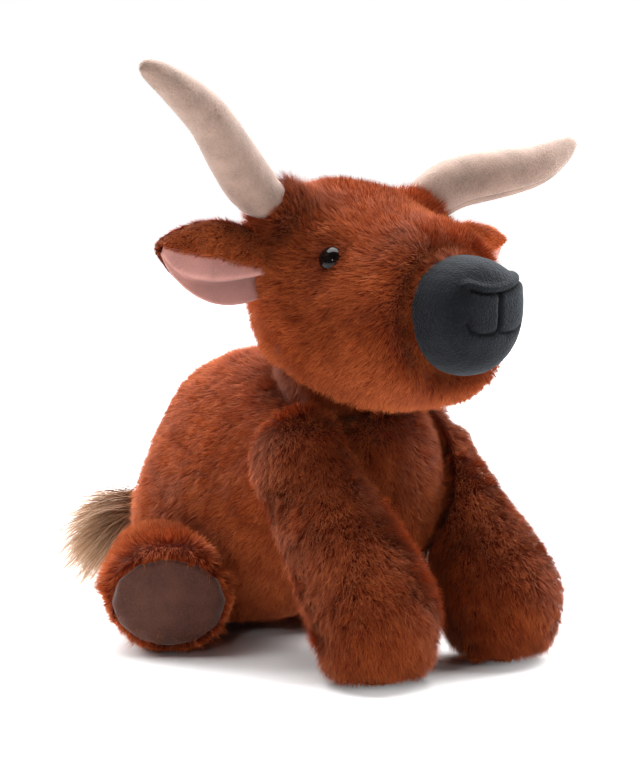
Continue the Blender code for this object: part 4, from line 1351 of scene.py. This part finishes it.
class HIGHLAND_OT_tail(bpy.types.Operator):
    """Makes the tail's sleeve and its long-haired tassel."""

    bl_idname = "highland.tail"
    bl_label = "Tail"

    def execute(self, context):
        """Grows pile on the sleeve and hangs long strands from its end."""
        form = padded_form("tail_pelt", ("tail_sleeve",), VOXEL["tail"], 1.5 * MM)
        combed(form, lambda co, normal: Vector((-0.3, 1, -0.2)), lambda co, normal: 0.6)
        grown(form)
        dressed(form, "tail", plush_material(), ("tail_sleeve",))
        self.tassel()
        return {"FINISHED"}

    def tassel(self):
        """Long strands that fan out, fall and curl a little."""
        chance = random.Random(11)
        bm = bmesh.new()
        layer = bm.loops.layers.uv.new(BAKE_MAP)
        heart = TAIL_SEAT + Vector((-4 * MM, 17 * MM, -2 * MM))
        locks = []
        for _ in range(LOCKS):
            side = chance.gauss(0, 0.30)
            fall_way = chance.uniform(-1.1, 0.40)
            locks.append((
                Vector((-0.72 + side, 0.85 + 0.3 * side, fall_way)).normalized(),
                chance.uniform(42, 64) * MM * (1.0 if fall_way < 0.1 else 0.70),
                chance.uniform(-1, 1),
            ))
        for _ in range(STRANDS):
            way, length, curl = chance.choice(locks)
            length *= chance.uniform(0.6, 1.08)
            place = heart + Vector(
                (chance.gauss(0, 3.5), chance.gauss(0, 3.0), chance.gauss(-2, 4.0))
            ) * MM
            tone = chance.random()
            aim = (way + Vector([chance.gauss(0, 0.07) for _ in range(3)])).normalized()
            across = aim.cross(Vector((chance.gauss(0, 1), chance.gauss(0, 1), 1))).normalized()
            points = [place.copy()]
            for step in range(STRAND_STEPS):
                share = (step + 1) / STRAND_STEPS
                fall = Vector((0, 0, -0.62)) * share ** 1.3
                bend = across.cross(aim) * (curl * 0.25 * sin(share * pi * 1.3))
                place = place + (aim + fall + bend).normalized() * (length / STRAND_STEPS)
                place.z = max(place.z, 2 * FLOOR_CLEARANCE)
                points.append(place.copy())
            ribbon(bm, layer, points, across, 0.20 * MM, tone)
        tassel = new_object("tail_tassel_strands", mesh_from("tail_tassel_strands", bm))
        tassel.data.shade_smooth()
        colours = trim()
        middle = [0.6 * a + 0.24 * b for a, b in zip(colours.tassel_root, colours.tassel_tip)]
        material = hair_material(
            "tassel hair", tuple(colours.tassel_root), middle, tuple(colours.tassel_tip), 0.5
        )
        dressed(tassel, "tail", material, ("tail_tassel",))


def ribbon(bm, layer, points, across, half, tone):
    """A thin tapering ribbon along some points, mapped by its tone and its length."""
    last = len(points) - 1
    rows = []
    for k, point in enumerate(points):
        thin = half * (1 - 0.8 * k / last)
        rows.append((bm.verts.new(point - across * thin), bm.verts.new(point + across * thin)))
    for k, (row, following) in enumerate(zip(rows, rows[1:])):
        face = bm.faces.new((row[0], row[1], following[1], following[0]))
        marks = ((0, k), (1, k), (1, k + 1), (0, k + 1))
        for loop, (wide, step) in zip(face.loops, marks):
            loop[layer].uv = (0.01 + 0.97 * tone + 0.008 * wide, 0.03 + 0.94 * step / last)


class HIGHLAND_OT_inside(bpy.types.Operator):
    """Gives the hidden hard pieces their material."""

    bl_idname = "highland.inside"
    bl_label = "Inside"

    def execute(self, context):
        """Dresses the eye washers, which stay as they are."""
        material, tree, shader = new_material("washer plastic", 0.4)
        grain = noise(tree, own_place(tree), 500.0, 3.0)[0]
        tint = ramp(tree, grain, ((0.3, (0.70, 0.69, 0.66)), (0.7, (0.80, 0.79, 0.76))))
        tree.links.new(tint, shader.inputs["Base Color"])
        for side in SIDES:
            washer = frame["nodes"][f"eye_washer_{side}"]
            washer.data.materials.clear()
            washer.data.materials.append(material)
        return {"FINISHED"}


class HIGHLAND_OT_studio(bpy.types.Operator):
    """Makes the floor, the lamps and the camera."""

    bl_idname = "highland.studio"
    bl_label = "Studio"

    def execute(self, context):
        """Sets a white floor under soft lamps, and the camera."""
        setup = studio()
        bm = bmesh.new()
        bmesh.ops.create_grid(bm, x_segments=1, y_segments=1, size=FLOOR_SIZE)
        floor = new_object("studio_floor", mesh_from("studio_floor", bm))
        floor.data.materials.append(floor_material())

        flat = Vector((-sin(setup.azimuth), cos(setup.azimuth), 0))
        right = Vector((flat.y, -flat.x, 0))
        look = flat * cos(setup.elevation) - Z_AXIS * sin(setup.elevation)
        lens = bpy.data.cameras.new("camera")
        lens.lens = CAMERA_LENS
        lens.sensor_width = 36
        lens.sensor_fit = "AUTO"
        camera = new_object("camera", lens)
        camera.location = TOY_MIDDLE - look * setup.distance
        camera.rotation_euler = look.to_track_quat("-Z", "Y").to_euler()
        context.scene.camera = camera

        eye = centre_of("eye_right")
        lamps = (
            ("top_softbox", flat * 0.42 + Z_AXIS * 1.08, 1.5, setup.top_power),
            ("rim_left", flat * 0.70 - right * 0.95 + Z_AXIS * 0.65, 0.7, setup.rim_power),
            ("rim_right", flat * 0.70 + right * 0.95 + Z_AXIS * 0.65, 0.7, setup.rim_power),
            ("glint_left", -flat * 1.14 - right * 0.20 + Z_AXIS * 0.40, 0.08, setup.fill_power),
            ("glint_right", -flat * 0.86 + right * 0.78 + Z_AXIS * 0.40, 0.08, setup.fill_power),
        )
        for name, place, size, power in lamps:
            light = bpy.data.lights.new(name, "AREA")
            light.size = size
            light.energy = power
            lamp = new_object(name, light)
            lamp.location = TOY_MIDDLE + place
            aim = eye - lamp.location if name.startswith("glint") else -place
            lamp.rotation_euler = aim.to_track_quat("-Z", "Y").to_euler()

        world = bpy.data.worlds.new("studio")
        world.use_nodes = True
        context.scene.world = world
        tree = world.node_tree
        background = tree.nodes["Background"]
        seen = node(tree, "ShaderNodeLightPath").outputs["Is Camera Ray"]
        strength = calculated(tree, "MULTIPLY_ADD", seen, 1.0 - setup.air, setup.air)
        tree.links.new(strength, background.inputs["Strength"])
        background.inputs["Color"].default_value = (1, 1, 1, 1)
        context.scene.view_settings.view_transform = "Standard"
        return {"FINISHED"}


def floor_material():
    """White paper that keeps the toy's soft shadow and turns pure white away from it."""
    material, tree, shader = new_material("white paper", 0.9, Specular_IOR_Level=0.0)
    shader.inputs["Base Color"].default_value = (0.92, 0.92, 0.92, 1)
    place = own_place(tree)
    grain = noise(tree, place, 40.0)[0]
    bump = node(tree, "ShaderNodeBump", {"Height": grain, "Distance": 0.1 * MM})
    tree.links.new(bump.outputs[0], shader.inputs["Normal"])
    middle = vector_math(tree, "DISTANCE", place, (0.0, -0.06, 0.0))["Value"]
    far = ranged(tree, middle, 0.100, 0.168)
    seen = node(tree, "ShaderNodeLightPath").outputs["Is Camera Ray"]
    strength = calculated(tree, "MULTIPLY", seen, far)
    glow = node(tree, "ShaderNodeEmission", {"Color": (1, 1, 1, 1), "Strength": strength})
    both = node(tree, "ShaderNodeAddShader", {0: shader.outputs[0], 1: glow.outputs[0]})
    tree.links.new(both.outputs[0], tree.nodes["Material Output"].inputs["Surface"])
    return material


class HIGHLAND_PT_pieces(bpy.types.Panel):
    """Lists the pieces of the plush bull."""

    bl_label = "Plush highland bull"
    bl_idname = "HIGHLAND_PT_pieces"
    bl_space_type = "VIEW_3D"
    bl_region_type = "UI"
    bl_category = "Highland"

    def draw(self, context):
        """Draws a button for each piece and the settings."""
        for operator in OPERATORS:
            self.layout.operator(operator.bl_idname)
        for group in (plush(), trim(), studio()):
            for key in group.bl_rna.properties.keys():
                if key not in ("rna_type", "name"):
                    self.layout.prop(group, key)


OPERATORS = (
    HIGHLAND_OT_studio,
    HIGHLAND_OT_body,
    HIGHLAND_OT_head,
    HIGHLAND_OT_legs,
    HIGHLAND_OT_horns,
    HIGHLAND_OT_ears,
    HIGHLAND_OT_muzzle,
    HIGHLAND_OT_eyes,
    HIGHLAND_OT_soles,
    HIGHLAND_OT_tail,
    HIGHLAND_OT_inside,
)
SETTINGS = (
    ("highland_plush", PlushSettings),
    ("highland_trim", TrimSettings),
    ("highland_studio", StudioSettings),
)


def register():
    """Adds the settings, the operators and the panel."""
    for name, group in SETTINGS:
        bpy.utils.register_class(group)
        setattr(bpy.types.Scene, name, PointerProperty(type=group))
    for operator in OPERATORS:
        bpy.utils.register_class(operator)
    bpy.utils.register_class(HIGHLAND_PT_pieces)


def unregister():
    """Takes them out again."""
    bpy.utils.unregister_class(HIGHLAND_PT_pieces)
    for operator in reversed(OPERATORS):
        bpy.utils.unregister_class(operator)
    for name, group in reversed(SETTINGS):
        delattr(bpy.types.Scene, name)
        bpy.utils.unregister_class(group)


def main():
    """Makes every piece."""
    register()
    for operator in OPERATORS:
        family, name = operator.bl_idname.split(".")
        getattr(getattr(bpy.ops, family), name)()
    bpy.data.objects.remove(short_hair())


if __name__ == "__main__":
    main()
